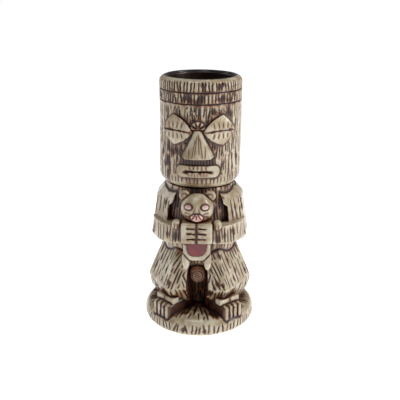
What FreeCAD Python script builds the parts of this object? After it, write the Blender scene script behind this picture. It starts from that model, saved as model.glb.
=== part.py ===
"""A ceramic tiki mug: a squatting idol that holds a small bear, with a tall round cup for a head.

The mug stands on a round foot disc with its base's centre at the origin, +Z up, and the idol faces -Y.
Its left side is at +X. Every clay part that a potter makes and lutes on is a solid of its own: the turned
rings of the head, the hollow torso, the limbs, the face, the bear and the glaze that lines the cavity.
Each part that sits on another is cut to the surface that it sits on, so that the two meet face to face.
"""

import FreeCAD, Part
import os
import re

import Sketcher

# Driving dimensions: cell name, value in millimetres or degrees, and what it is.
# Heights on the torso are given for the torso's own height, and keep their share of it when it changes.
GIVEN_FOR = 102.5
DISC_GIVEN_FOR = 15.5
SIZES = [
    # Foot disc
    ("disc_radius", 44.8, "widest radius of the foot disc"),
    ("disc_height", 15.5, "height of the foot disc"),
    ("disc_top_round", 7.5, "rounding of the disc's upper edge"),
    ("disc_foot_round", 5.5, "rounding of the disc's lower edge"),
    ("recess_radius", 33.0, "radius of the hollow under the disc"),
    ("recess_depth", 7.0, "depth of the hollow under the disc"),
    # Torso: heights are above the disc
    ("torso_height", 102.5, "from the disc to the foot of the head"),
    ("torso_wall", 4.5, "wall of the torso"),
    ("torso_floor", 5.5, "floor of the cavity"),
    ("belly_radius", 30.0, "widest radius of the torso"),
    ("seat_inset", 9.0, "how much slimmer than the belly the torso is at the disc"),
    ("seat_back", 8.0, "how far the torso's centre is set back at the disc"),
    ("loin_level", 24.5, ""),
    ("loin_inset", 6.0, ""),
    ("loin_back", 6.0, ""),
    ("waist_level", 44.5, ""),
    ("waist_inset", 2.0, ""),
    ("waist_back", 2.0, ""),
    ("belly_level", 64.5, ""),
    ("chest_drop", 18.0, "below the foot of the head"),
    ("chest_inset", 0.5, ""),
    ("neck_inset", 4.3, "how much slimmer than the head the torso is at its foot"),
    # Head
    ("head_height", 64.4, "plain part of the head, below its bands"),
    ("crown_height", 8.3, "height of the lower band"),
    ("rim_height", 9.3, "height of the upper band, up to the lip"),
    ("head_radius", 31.3, "radius of the head and its bands"),
    ("head_wall", 6.0, "wall of the head"),
    ("neck_step", 4.3, "how much narrower the cavity is where head and torso meet"),
    ("neck_taper", 9.0, "height over which the cavity widens into the head"),
    ("chin_round", 8.0, "rounding of the head's lower edge"),
    ("lip_round", 4.4, "rounding outside the lip"),
    ("lip_inner_round", 1.3, "rounding inside the lip"),
    ("band_round", 0.8, "rounding of the bands' edges"),
    ("glaze_film", 0.5, "thickness of the glaze in the cavity"),
    # Face: levels are above the foot of the head, angles are from the front
    ("face_bite", 2.0, "how deep the face parts are set before they are trimmed"),
    ("eye_inner_angle", 7.7, ""),
    ("eye_outer_angle", 57.0, ""),
    ("eye_peak_angle", 35.5, ""),
    ("eye_corner_level", 44.6, "height of the eye's inner corner"),
    ("eye_tail_level", 46.0, "height of the eye's outer corner"),
    ("eye_peak_level", 56.8, ""),
    ("eye_foot_level", 34.3, ""),
    ("eye_arc", 26.0, "radius of the eye's outlines"),
    ("eye_bulge", 2.9, "how far the eye stands out"),
    ("nose_top_level", 46.0, ""),
    ("nose_foot_level", 25.6, ""),
    ("nose_top_width", 6.6, ""),
    ("nose_foot_width", 24.6, ""),
    ("nose_top_proud", 2.2, ""),
    ("nose_foot_proud", 8.0, ""),
    ("brow_level", 46.4, "foot of the fan between the brows"),
    ("brow_radius", 5.8, ""),
    ("brow_proud", 1.7, ""),
    ("teeth_height", 5.6, ""),
    ("teeth_width", 25.0, ""),
    ("teeth_proud", 0.8, ""),
    ("mouth_level", 10.5, ""),
    ("mouth_height", 9.0, ""),
    ("mouth_width", 32.0, ""),
    ("mouth_proud", 2.4, ""),
    ("slit_width", 20.5, ""),
    ("slit_height", 1.1, ""),
    ("slit_depth", 1.2, ""),
    # Arms: drops are below the foot of the head, reaches are beyond the belly
    ("shoulder_front_angle", 35.0, "how far the shoulder comes round to the front"),
    ("arm_front_angle", 42.0, ""),
    ("arm_side_angle", 72.0, ""),
    ("arm_rear_angle", 101.0, ""),
    ("arm_back_angle", 128.0, ""),
    ("arm_root", 16.0, "where the arm's sides meet inside the torso"),
    ("arm_edge_ease", 1.3, "how much less the arm's front and back edges reach"),
    ("shoulder_top_drop", 1.0, ""),
    ("shoulder_top_reach", -3.0, ""),
    ("shoulder_drop", 10.0, ""),
    ("shoulder_reach", 4.6, ""),
    ("armpit_drop", 11.5, "foot of the shoulder, above the gap between arm and chest"),
    ("armpit_reach", 5.2, ""),
    ("armpit_slope", 3.0, "height over which the gap opens"),
    ("upper_arm_drop", 30.0, ""),
    ("upper_arm_reach", 7.6, ""),
    ("elbow_drop", 41.5, ""),
    ("elbow_reach", 9.6, ""),
    ("elbow_foot_drop", 45.0, ""),
    ("elbow_foot_reach", 7.4, ""),
    ("forearm_top_drop", 26.5, ""),
    ("forearm_mid_angle", 38.0, ""),
    ("forearm_mid_reach", 11.2, ""),
    ("forearm_mid_drop", 41.6, ""),
    ("wrist_angle", 13.0, ""),
    ("wrist_reach", 12.2, ""),
    ("wrist_drop", 38.8, ""),
    ("forearm_root", 24.0, "inner end of the forearm's sections"),
    # Hands
    ("hand_top_drop", 22.0, ""),
    ("hand_height", 16.4, ""),
    ("hand_width", 11.8, ""),
    ("hand_reach", 14.4, ""),
    ("hand_depth", 10.0, ""),
    ("hand_round", 1.8, ""),
    ("finger_gap", 0.9, "width of the cuts between the fingers"),
    ("finger_cut", 1.1, "depth of the cuts between the fingers"),
    ("finger_start", 1.3, "from the middle of the two hands to the cuts"),
    ("finger_length", 5.8, "length of the cuts between the fingers"),
    # Bear
    ("bear_head_drop", 12.3, "centre of the bear's head"),
    ("bear_head_reach", 5.4, ""),
    ("bear_head_width", 24.6, ""),
    ("bear_head_depth", 17.0, ""),
    ("bear_head_height", 22.4, ""),
    ("bear_ear_radius", 4.1, ""),
    ("bear_ear_depth", 2.8, ""),
    ("bear_ear_side", 9.7, ""),
    ("bear_ear_rise", 9.2, "above the centre of the bear's head"),
    ("bear_ear_reach", 3.6, ""),
    ("bear_eye_side", 6.0, ""),
    ("bear_eye_rise", 2.4, ""),
    ("bear_eye_width", 6.2, ""),
    ("bear_eye_height", 4.6, ""),
    ("bear_eye_proud", 0.7, ""),
    ("bear_eye_turn", 22.0, "how far the eyes turn outwards, with the curve of the face"),
    ("muzzle_width", 11.0, ""),
    ("muzzle_height", 9.4, ""),
    ("muzzle_depth", 8.0, ""),
    ("muzzle_reach", 10.6, ""),
    ("muzzle_fall", 4.6, "below the centre of the bear's head"),
    ("paw_side", 15.3, ""),
    ("paw_drop", 24.2, ""),
    ("paw_reach", 9.2, ""),
    ("paw_width", 7.0, ""),
    ("paw_height", 8.0, ""),
    ("paw_depth", 8.4, ""),
    ("bear_body_width", 20.6, ""),
    ("bear_body_foot_drop", 53.8, "foot of the bear's body"),
    ("bear_body_reach", 11.6, ""),
    ("bear_body_round", 3.0, ""),
    ("patch_width", 13.8, ""),
    ("patch_height", 10.4, ""),
    ("patch_proud", 0.6, ""),
    ("patch_set", 1.5, "how deep the belly patch is let in"),
    ("bear_leg_side", 8.3, ""),
    ("bear_leg_drop", 53.6, ""),
    ("bear_leg_width", 6.0, ""),
    ("bear_leg_depth", 6.6, ""),
    ("bear_leg_length", 17.0, ""),
    ("bear_leg_reach", 8.0, ""),
    # Pendant: level is above the disc
    ("pendant_level", 30.5, ""),
    ("pendant_width", 13.6, ""),
    ("pendant_height", 15.0, ""),
    ("pendant_depth", 10.0, ""),
    ("pendant_inset", 7.2, "from the belly's radius in to the pendant's centre"),
    # Legs: levels are above the disc, reaches are beyond the belly
    ("leg_inner_angle", 15.0, ""),
    ("leg_ridge_angle", 34.0, ""),
    ("leg_side_angle", 88.0, ""),
    ("leg_back_angle", 140.0, ""),
    ("leg_root_side", 3.0, "where the leg's sides meet inside the torso"),
    ("leg_root_back", 8.0, ""),
    ("hip_level", 52.0, ""),
    ("hip_inner_reach", -3.0, ""),
    ("hip_ridge_reach", -0.5, ""),
    ("hip_side_reach", -0.5, ""),
    ("thigh_level", 33.0, ""),
    ("thigh_inner_reach", 2.0, ""),
    ("thigh_ridge_reach", 7.5, ""),
    ("thigh_side_reach", 7.2, ""),
    ("knee_level", 20.5, ""),
    ("knee_inner_reach", 3.0, ""),
    ("knee_ridge_reach", 12.0, ""),
    ("knee_side_reach", 12.2, ""),
    ("calf_level", 11.5, ""),
    ("calf_inner_reach", -3.0, ""),
    ("calf_ridge_reach", 6.4, ""),
    ("calf_side_reach", 10.4, ""),
    ("ankle_inner_reach", -10.0, "reaches of the ankle, at the disc"),
    ("ankle_ridge_reach", 1.0, ""),
    ("ankle_side_reach", 3.4, ""),
    # Feet and anklets
    ("foot_angle", 42.0, "which way the feet point"),
    ("heel_reach", -6.0, ""),
    ("toe_inset", 1.1, "how far the toes end inside the disc's edge"),
    ("foot_width", 18.4, ""),
    ("heel_height", 11.0, ""),
    ("toe_height", 7.6, ""),
    ("foot_sink", 6.5, "how far the foot reaches down over the disc's rounding"),
    ("foot_round", 2.6, ""),
    ("toe_gap", 0.9, "width of the cuts between the toes"),
    ("toe_cut", 1.2, "depth of the cuts between the toes"),
    ("anklet_proud", 2.6, "how far the anklet stands out from the calf"),
    ("anklet_depth", 6.2, ""),
    ("anklet_width", 19.6, ""),
    ("anklet_level", 8.2, ""),
    ("anklet_height", 4.4, ""),
    ("anklet_round", 1.0, ""),
]

# Heights that keep their share of the torso's height, beside every size that ends in "_drop".
DISC_TIED = ("foot_sink",)
TORSO_TIED = (
    "loin_level",
    "waist_level",
    "belly_level",
    "calf_level",
    "knee_level",
    "thigh_level",
    "hip_level",
    "pendant_level",
    "armpit_slope",
    "hand_height",
    "patch_height",
    "bear_leg_length",
    "bear_head_height",
    "muzzle_fall",
    "bear_eye_rise",
    "bear_ear_rise",
)

# Heights that follow from the stack of disc, torso and head.
HEAD_FOOT = "(disc_height + torso_height)"
CROWN_FOOT = "(disc_height + torso_height + head_height)"
RIM_FOOT = "(disc_height + torso_height + head_height + crown_height)"
RIM_TOP = "(disc_height + torso_height + head_height + crown_height + rim_height)"
BORE = "(head_radius - head_wall)"
NECK_BORE = "(head_radius - head_wall - neck_step)"
NECK = "(head_radius - neck_inset)"
BEAR_HEAD = f"({HEAD_FOOT} - bear_head_drop)"
HAND_TOP = f"({HEAD_FOOT} - hand_top_drop)"
HAND_FOOT = f"({HEAD_FOOT} - hand_top_drop - hand_height)"

Z_AXIS = FreeCAD.Vector(0, 0, 1)
UPRIGHT = FreeCAD.Rotation(FreeCAD.Vector(1, 0, 0), 90)  # sketch Y becomes +Z, and its normal -Y
FULL_TURN = 360
CORNER = 0.05  # how close a point has to be to an edge to be taken as on it
PAST = 2.0  # how far a cutter passes the surface that it opens

doc = FreeCAD.newDocument("TikiMug")
sheet = doc.addObject("Spreadsheet::Sheet", "Sizes")
parts = []


# Sheet and formulas


def fill_sheet():
    for row, (name, number, note) in enumerate(SIZES, start=1):
        share = ""
        if name.endswith("_drop") or name in TORSO_TIED:
            share = f" * torso_height / {GIVEN_FOR}"
        elif name in DISC_TIED:
            share = f" * disc_height / {DISC_GIVEN_FOR}"
        sheet.set(f"A{row}", name)
        sheet.set(f"B{row}", f"={number}{share}" if share else str(number))
        sheet.setAlias(f"B{row}", name)
        sheet.set(f"C{row}", note)
    doc.recompute()


def sized(formula):
    """The formula with each bare cell name written as a cell of the sheet."""
    return re.sub(r"\b([a-z]+(?:_[a-z]+)+)\b", r"Sizes.\1", str(formula))


def value(formula):
    found = sheet.evalExpression(sized(formula))
    return float(getattr(found, "Value", found))


def bind(item, formulas):
    for name, formula in formulas.items():
        item.setExpression(name, sized(formula))
    return item


def put(item, x="0", y="0", z="0", turn=None):
    """Ties an object's place, and its turn about Z if it has one, to the sheet."""
    bind(item, {"Placement.Base.x": x, "Placement.Base.y": y, "Placement.Base.z": z})
    if turn is not None:
        item.Placement.Rotation = FreeCAD.Rotation(Z_AXIS, 1)
        bind(item, {"Placement.Rotation.Angle": turn})
    return item


def polar(reach, angle):
    """Sketch formulas of the point at a radius and an angle from the front, towards the idol's left."""
    return f"({reach}) * sin({angle})", f"-({reach}) * cos({angle})"


# Sketches


def fix_points(sketch, points):
    """Ties the first point of each edge to a pair of formulas."""
    for edge, (x, y) in enumerate(points):
        for kind, formula in (("DistanceX", x), ("DistanceY", y)):
            number = sketch.addConstraint(Sketcher.Constraint(kind, -1, 1, edge, 1, value(formula)))
            sketch.setExpression(f"Constraints[{number}]", sized(formula))


def join_ends(sketch, count):
    for edge in range(count):
        sketch.addConstraint(Sketcher.Constraint("Coincident", edge, 2, (edge + 1) % count, 1))


def polygon(sketch, points):
    """Draws a closed outline of straight edges through points given as formulas."""
    corners = [FreeCAD.Vector(value(x), value(y), 0) for x, y in points]
    for edge, corner in enumerate(corners):
        sketch.addGeometry(Part.LineSegment(corner, corners[(edge + 1) % len(corners)]))
    join_ends(sketch, len(corners))
    fix_points(sketch, points)


def leaf(sketch, points, radius):
    """Draws a closed outline of outward arcs of one radius through points in clockwise order."""
    corners = [FreeCAD.Vector(value(x), value(y), 0) for x, y in points]
    bend = value(radius)
    for edge, start in enumerate(corners):
        end = corners[(edge + 1) % len(corners)]
        half = (end - start) * 0.5
        out = FreeCAD.Vector(-half.y, half.x, 0).normalize()
        rise = bend - (bend**2 - half.Length**2) ** 0.5
        sketch.addGeometry(Part.Arc(start, start + half + out * rise, end))
    # Part.Arc turns a clockwise arc round, so each arc's own ends are found before they are tied.
    ends = []
    for edge, start in enumerate(corners):
        first = sketch.getPoint(edge, 1).distanceToPoint(start) < CORNER
        ends.append((1, 2) if first else (2, 1))
    for edge in range(len(corners)):
        following = (edge + 1) % len(corners)
        sketch.addConstraint(
            Sketcher.Constraint("Coincident", edge, ends[edge][1], following, ends[following][0])
        )
        number = sketch.addConstraint(Sketcher.Constraint("Radius", edge, bend))
        sketch.setExpression(f"Constraints[{number}]", sized(radius))
        for kind, formula in zip(("DistanceX", "DistanceY"), points[edge]):
            number = sketch.addConstraint(
                Sketcher.Constraint(kind, -1, 1, edge, ends[edge][0], value(formula))
            )
            sketch.setExpression(f"Constraints[{number}]", sized(formula))


def loose_sketch(name, points):
    sketch = doc.addObject("Sketcher::SketchObject", name)
    polygon(sketch, points)
    return sketch


def level_sketch(name, level, points):
    """An outline in the horizontal plane at a level."""
    return put(loose_sketch(name, points), z=level)


def radial_sketch(name, angle, points):
    """An outline in the vertical plane through the axis at an angle from the front."""
    sketch = loose_sketch(name, points)
    sketch.Placement.Rotation = FreeCAD.Rotation(0, 0, 90)
    return bind(sketch, {"Placement.Rotation.Yaw": f"{angle} - 90"})


# Bodies and features


def body_with_sketch(name, plane):
    """A new body and an empty sketch on one of its own origin planes."""
    body = doc.addObject("PartDesign::Body", name)
    sketch = body.newObject("Sketcher::SketchObject", f"{name}_outline")
    support = next(item for item in body.Origin.OriginFeatures if item.Role == plane)
    sketch.AttachmentSupport = [(support, "")]
    sketch.MapMode = "FlatFace"
    return body, sketch


def turned(name, points):
    """A body of revolution about Z, from a closed outline of radius and height formulas."""
    body, sketch = body_with_sketch(name, "XZ_Plane")
    polygon(sketch, points)
    feature = body.newObject("PartDesign::Revolution", f"{name}_turn")
    feature.Profile = sketch
    feature.ReferenceAxis = (sketch, ["V_Axis"])
    feature.Angle = FULL_TURN
    doc.recompute()
    return body


def padded(body, sketch, length):
    feature = body.newObject("PartDesign::Pad", f"{body.Name}_pad")
    feature.Profile = sketch
    bind(feature, {"Length": length})
    doc.recompute()
    return body


def rounded(body, radius, chosen):
    """Fillets the edges of a body for which chosen says yes."""
    solid = body.Tip
    edges = [f"Edge{n}" for n, edge in enumerate(solid.Shape.Edges, start=1) if chosen(edge)]
    feature = body.newObject("PartDesign::Fillet", f"{body.Name}_round")
    feature.Base = (solid, edges)
    bind(feature, {"Radius": radius})
    doc.recompute()
    return body


def circle_at(radius, level):
    """Says whether an edge is the whole circle of that radius at that level."""
    wanted = value(radius), value(level)

    def chosen(edge):
        curve = edge.Curve
        if curve.TypeId != "Part::GeomCircle":
            return False
        return abs(curve.Radius - wanted[0]) < CORNER and abs(curve.Center.z - wanted[1]) < CORNER

    return chosen


def along_y(edge):
    start, end = edge.Vertexes[0].Point, edge.Vertexes[-1].Point
    return abs(start.x - end.x) < CORNER and abs(start.z - end.z) < CORNER


def low_side_edge(level):
    """Says whether an edge runs front to back at that level."""
    height = value(level)

    def chosen(edge):
        return along_y(edge) and abs(edge.Vertexes[0].Point.z - height) < CORNER

    return chosen


def at_front(depth):
    """Says whether an edge lies wholly in the plane y = -depth."""
    front = -value(depth)

    def chosen(edge):
        return all(abs(point.Point.y - front) < CORNER for point in edge.Vertexes)

    return chosen


def loft(name, sections, ruled=False):
    item = doc.addObject("Part::Loft", name)
    item.Sections = sections
    item.Solid = True
    item.Ruled = ruled
    doc.recompute()
    return item


def disc_section(name, radius, level, back="0"):
    """A circle in a horizontal plane, with its centre set back from the axis."""
    item = doc.addObject("Part::Circle", name)
    bind(item, {"Radius": radius})
    return put(item, y=back, z=level)


def ellipsoid(name, width, depth, height, x="0", y="0", z="0", turn=None):
    item = doc.addObject("Part::Ellipsoid", name)
    item.Angle1, item.Angle2, item.Angle3 = -90, 90, FULL_TURN
    bind(item, {"Radius1": f"({height}) / 2", "Radius2": f"({width}) / 2", "Radius3": f"({depth}) / 2"})
    return put(item, x, y, z, turn)


def cylinder(name, radius, foot, height):
    item = doc.addObject("Part::Cylinder", name)
    bind(item, {"Radius": radius, "Height": height})
    return put(item, z=foot)


def combined(kind, name, base, tool):
    item = doc.addObject(f"Part::{kind}", name)
    item.Base = base
    item.Tool = tool
    return item


def trimmed(name, blank, *hosts):
    """The blank with each of its hosts cut away, so that it meets them face to face."""
    item = blank
    for number, host in enumerate(hosts, start=1):
        last = number == len(hosts)
        item = combined("Cut", name if last else f"{name}_trim_{number}", item, host)
    return item


def mirrored(name, source):
    """The same part for the idol's right side."""
    item = doc.addObject("Part::Mirroring", name)
    item.Source = source
    item.Base = FreeCAD.Vector(0, 0, 0)
    item.Normal = FreeCAD.Vector(1, 0, 0)
    return item


def part(label, item):
    """Marks an object as a sub-part, named by its label."""
    item.Label = label
    parts.append(item)
    return item


def pair(label, left):
    """Marks a left part, and makes and marks its right twin."""
    part(f"left_{label}", left)
    right = mirrored(f"right_{label}", left)
    return left, part(f"right_{label}", right)


# Vessel


def foot_disc():
    """The round disc that the idol squats on, hollowed underneath so that it stands on a ring."""
    body = turned(
        "foot_disc",
        [
            ("0", "recess_depth"),
            ("recess_radius", "recess_depth"),
            ("recess_radius", "0"),
            ("disc_radius", "0"),
            ("disc_radius", "disc_height"),
            ("0", "disc_height"),
        ],
    )
    rounded(body, "min(disc_top_round; disc_height * 0.5)", circle_at("disc_radius", "disc_height"))
    rounded(body, "min(disc_foot_round; disc_height * 0.4)", circle_at("disc_radius", "0"))
    return part("foot_disc", body)


def torso_loft(name, less, floor, neck):
    """A smooth loft up the torso: its sections are smaller by less, and its foot is raised by floor."""
    belly = f"belly_radius - ({less})"
    sections = [
        disc_section(f"{name}_seat", f"{belly} - seat_inset", f"disc_height + {floor}", "seat_back"),
        disc_section(f"{name}_loin", f"{belly} - loin_inset", "disc_height + loin_level", "loin_back"),
        disc_section(f"{name}_waist", f"{belly} - waist_inset", "disc_height + waist_level", "waist_back"),
        disc_section(f"{name}_belly", belly, "disc_height + belly_level"),
        disc_section(f"{name}_chest", f"{belly} - chest_inset", f"{HEAD_FOOT} - chest_drop"),
        disc_section(f"{name}_neck", neck, HEAD_FOOT),
    ]
    return loft(name, sections)


def head_bore(name, less):
    """The cavity inside the head, which passes the lip."""
    return turned(
        name,
        [
            ("0", HEAD_FOOT),
            (f"{NECK_BORE} - {less}", HEAD_FOOT),
            (f"{BORE} - {less}", f"{HEAD_FOOT} + neck_taper"),
            (f"{BORE} - {less}", f"{RIM_TOP} + {PAST}"),
            ("0", f"{RIM_TOP} + {PAST}"),
        ],
    )


def torso(torso_form):
    cavity = torso_loft("torso_cavity", "torso_wall", "torso_floor", NECK_BORE)
    return part("torso", trimmed("torso", torso_form, cavity)), cavity


def head_ring(name, foot, top):
    return turned(
        name,
        [(BORE, foot), ("head_radius", foot), ("head_radius", top), (BORE, top)],
    )


def head_cup():
    """The plain wall of the head, thickened at its foot where it stands on the torso."""
    body = turned(
        "head_cup",
        [
            (NECK_BORE, HEAD_FOOT),
            ("head_radius", HEAD_FOOT),
            ("head_radius", CROWN_FOOT),
            (BORE, CROWN_FOOT),
            (BORE, f"{HEAD_FOOT} + neck_taper"),
        ],
    )
    rounded(body, "min(chin_round; (head_wall + neck_step) * 0.8)", circle_at("head_radius", HEAD_FOOT))
    rounded(body, "band_round", circle_at("head_radius", CROWN_FOOT))
    return part("head_cup", body)


def crown_band():
    body = head_ring("crown_band", CROWN_FOOT, RIM_FOOT)
    rounded(body, "band_round", circle_at("head_radius", CROWN_FOOT))
    rounded(body, "band_round", circle_at("head_radius", RIM_FOOT))
    return part("crown_band", body)


def rim_band():
    body = head_ring("rim_band", RIM_FOOT, RIM_TOP)
    rounded(body, "band_round", circle_at("head_radius", RIM_FOOT))
    rounded(body, "min(lip_round; head_wall * 0.75)", circle_at("head_radius", RIM_TOP))
    rounded(body, "min(lip_inner_round; head_wall * 0.22)", circle_at(BORE, RIM_TOP))
    return part("rim_band", body)


def inner_glaze(torso_cavity):
    """The glaze that lines the cavity, from its floor to just under the lip."""
    less, floor = "torso_wall + glaze_film", "torso_floor + glaze_film"
    inside = torso_loft("glaze_cavity", less, floor, f"{NECK_BORE} - glaze_film")
    lower = trimmed("glaze_lower", torso_cavity, inside)
    upper = trimmed("glaze_upper", head_bore("head_bore", "0"), head_bore("glaze_bore", "glaze_film"))
    height = f"{RIM_TOP} - lip_inner_round"
    kept = combined("Common", "glaze_upper_kept", upper, cylinder("glaze_reach", BORE, "0", height))
    return part("inner_glaze", combined("Fuse", "inner_glaze", lower, kept))


# Face


def on_head(name, blank, proud, head_form):
    """A blank kept to a layer of that thickness on the head's round wall."""
    layer = cylinder(f"{name}_layer", f"head_radius + {proud}", HEAD_FOOT, "head_height")
    kept = combined("Common", f"{name}_kept", blank, layer)
    return trimmed(name, kept, head_form)


def face_pad(name, points):
    """A pad of a front view outline, from inside the head to well in front of it."""
    body, sketch = body_with_sketch(name, "XZ_Plane")
    polygon(sketch, points)
    return padded(body, sketch, f"head_radius + {PAST} * face_bite + nose_foot_proud")


def box_points(width, foot, height):
    half = f"({width}) / 2"
    top = f"{foot} + {height}"
    return [(f"-{half}", foot), (half, foot), (half, top), (f"-{half}", top)]


def eyes(head_form):
    """Closed, bulging lids with a leaf's outline."""
    body, sketch = body_with_sketch("eye_leaf", "XZ_Plane")
    corners = (
        ("eye_inner_angle", "eye_corner_level"),
        ("eye_peak_angle", "eye_peak_level"),
        ("eye_outer_angle", "eye_tail_level"),
        ("eye_peak_angle", "eye_foot_level"),
    )
    outline = [(f"head_radius * sin({angle})", f"{HEAD_FOOT} + {level}") for angle, level in corners]
    leaf(sketch, outline, "eye_arc")
    padded(body, sketch, "head_radius + eye_bulge")
    lens_x, lens_y = polar("head_radius - face_bite", "eye_peak_angle - 2")
    lens = ellipsoid(
        "eye_lens",
        "head_radius * (sin(eye_outer_angle) - sin(eye_inner_angle)) * 1.5",
        "2 * (eye_bulge + face_bite)",
        "(eye_peak_level - eye_foot_level) * 1.35",
        lens_x,
        lens_y,
        f"{HEAD_FOOT} + (eye_peak_level + eye_foot_level) / 2",
    )
    lens.Placement.Rotation = FreeCAD.Rotation(Z_AXIS, 1)
    bind(lens, {"Placement.Rotation.Angle": "eye_peak_angle - 2"})
    kept = combined("Common", "eye_kept", body, lens)
    return pair("eye", trimmed("left_eye", kept, head_form))


def nose(head_form):
    """A blunt wedge that widens and stands out towards its foot."""

    def section(name, width, proud, level):
        wall = "(head_radius - face_bite)"
        tip = f"(head_radius + {proud})"
        shoulder = f"(head_radius + {proud} * 0.72)"
        points = [
            (f"-{width} * 0.5", f"-{wall}"),
            (f"{width} * 0.5", f"-{wall}"),
            (f"{width} * 0.4", f"-{shoulder}"),
            (f"{width} * 0.16", f"-{tip}"),
            (f"-{width} * 0.16", f"-{tip}"),
            (f"-{width} * 0.4", f"-{shoulder}"),
        ]
        return level_sketch(name, f"{HEAD_FOOT} + {level}", points)

    blank = loft(
        "nose_blank",
        [
            section("nose_foot", "nose_foot_width", "nose_foot_proud", "nose_foot_level"),
            section("nose_top", "nose_top_width", "nose_top_proud", "nose_top_level"),
        ],
    )
    return part("nose", trimmed("nose", blank, head_form))


def brow_fan(head_form, neighbours):
    """A small fan-shaped ornament between the brows."""
    disc = doc.addObject("Part::Cylinder", "brow_disc")
    disc.Placement.Rotation = UPRIGHT
    bind(disc, {"Radius": "brow_radius", "Height": "head_radius + 2 * brow_proud"})
    put(disc, z=f"{HEAD_FOOT} + brow_level")
    above = box_points("3 * brow_radius", f"{HEAD_FOOT} + brow_level", "2 * brow_radius")
    upper = face_pad("brow_upper", above)
    half = combined("Common", "brow_half", disc, upper)
    raised = on_head("brow_raised", half, "brow_proud", head_form)
    return part("brow_fan", trimmed("brow_fan", raised, *neighbours))


def teeth_row(head_form, nose_part):
    """The low row of teeth between the nose and the lips."""
    blank = face_pad("teeth_blank", box_points("teeth_width", f"{HEAD_FOOT} + mouth_level + mouth_height", "teeth_height"))
    raised = on_head("teeth_raised", blank, "teeth_proud", head_form)
    return part("teeth_row", trimmed("teeth_row", raised, nose_part))


def mouth(head_form):
    """The lips: a raised tablet with rounded ends and a slit."""
    body = face_pad("mouth_blank", box_points("mouth_width", f"{HEAD_FOOT} + mouth_level", "mouth_height"))
    rounded(body, "mouth_height / 2 - 0.4", along_y)
    middle = f"{HEAD_FOOT} + mouth_level + (mouth_height - slit_height) / 2"
    slit = face_pad("slit_blank", box_points("slit_width", middle, "slit_height"))
    floor = cylinder("slit_floor", "head_radius + mouth_proud - slit_depth", HEAD_FOOT, "head_height")
    cutter = trimmed("slit_cutter", slit, floor)
    raised = on_head("mouth_raised", body, "mouth_proud", head_form)
    return part("mouth", trimmed("mouth", raised, cutter))


# Arms and hands


def hands():
    """Two flat hands side by side over the bear, each with cuts between its four fingers."""
    front = "(belly_radius + hand_reach)"
    body, sketch = body_with_sketch("hand_blank", "XZ_Plane")
    polygon(
        sketch,
        [("0", HAND_FOOT), ("hand_width", HAND_FOOT), ("hand_width", HAND_TOP), ("0", HAND_TOP)],
    )
    padded(body, sketch, front)

    def outer_edge(edge):
        """The front and side edges of the hand, but none where the two hands meet."""
        sides = [vertex.Point.x > CORNER for vertex in edge.Vertexes]
        return at_front(front)(edge) and any(sides) or along_y(edge) and all(sides)

    rounded(body, "hand_round", outer_edge)
    item = trimmed("hand_front", body, box_behind("hand_back", f"{front} - hand_depth"))
    for number in (1, 2, 3):
        cut = doc.addObject("Part::Box", f"finger_cut_{number}")
        bind(cut, {"Length": "finger_length", "Width": "2 * finger_cut", "Height": "finger_gap"})
        put(cut, "finger_start", f"-{front} - finger_cut", f"{HAND_FOOT} + hand_height * {number} / 4 - finger_gap / 2")
        item = combined("Cut", "left_hand" if number == 3 else f"hand_cut_{number}", item, cut)
    return pair("hand", item)


def box_behind(name, depth):
    """A block that fills the mug's width behind the plane y = -depth."""
    span = "2 * disc_radius"
    item = doc.addObject("Part::Box", name)
    bind(item, {"Length": f"2 * {span}", "Width": f"{span} + {depth}", "Height": RIM_TOP})
    return put(item, f"-{span}", f"-({depth})", "0")


def arm_level(name, drop, reach, front_angle="arm_front_angle"):
    out = f"belly_radius + {reach}"
    eased = f"{out} - arm_edge_ease"
    points = [
        polar(eased, front_angle),
        polar(out, "arm_side_angle"),
        polar(out, "arm_rear_angle"),
        polar(eased, "arm_back_angle"),
        ("arm_root", "0"),
    ]
    return level_sketch(name, f"{HEAD_FOOT} - ({drop})", points)


def arms(torso_form, left_hand):
    """Each arm is a slab down the side, and a forearm that wraps round the front to the hand."""
    upper = loft(
        "upper_arm",
        [
            arm_level("arm_neck", "shoulder_top_drop", "shoulder_top_reach", "shoulder_front_angle"),
            arm_level("arm_shoulder", "shoulder_drop", "shoulder_reach", "shoulder_front_angle"),
            arm_level("arm_pit", "armpit_drop", "armpit_reach", "shoulder_front_angle"),
            arm_level("arm_gap", "armpit_drop + armpit_slope", "armpit_reach"),
            arm_level("arm_upper", "upper_arm_drop", "upper_arm_reach"),
            arm_level("arm_elbow", "elbow_drop", "elbow_reach"),
            arm_level("arm_elbow_foot", "elbow_foot_drop", "elbow_foot_reach"),
        ],
        ruled=True,
    )

    def forearm_section(name, angle, reach, drop):
        top = f"{HEAD_FOOT} - forearm_top_drop"
        foot = f"{HEAD_FOOT} - {drop}"
        out = f"belly_radius + {reach}"
        root = "forearm_root"
        return radial_sketch(name, angle, [(root, foot), (out, foot), (out, top), (root, top)])

    lower = loft(
        "forearm",
        [
            forearm_section("forearm_elbow", "arm_side_angle", "elbow_reach - arm_edge_ease", "elbow_drop"),
            forearm_section("forearm_mid", "forearm_mid_angle", "forearm_mid_reach", "forearm_mid_drop"),
            forearm_section("forearm_wrist", "wrist_angle", "wrist_reach", "wrist_drop"),
        ],
    )
    joined = combined("Fuse", "arm_blank", upper, lower)
    return pair("arm", trimmed("left_arm", joined, torso_form, left_hand))


# Bear


def bear_head(torso_form, both_hands):
    blank = ellipsoid(
        "bear_head_blank",
        "bear_head_width",
        "bear_head_depth",
        "bear_head_height",
        y="-(belly_radius + bear_head_reach)",
        z=BEAR_HEAD,
    )
    return part("bear_head", trimmed("bear_head", blank, torso_form, *both_hands))


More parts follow.
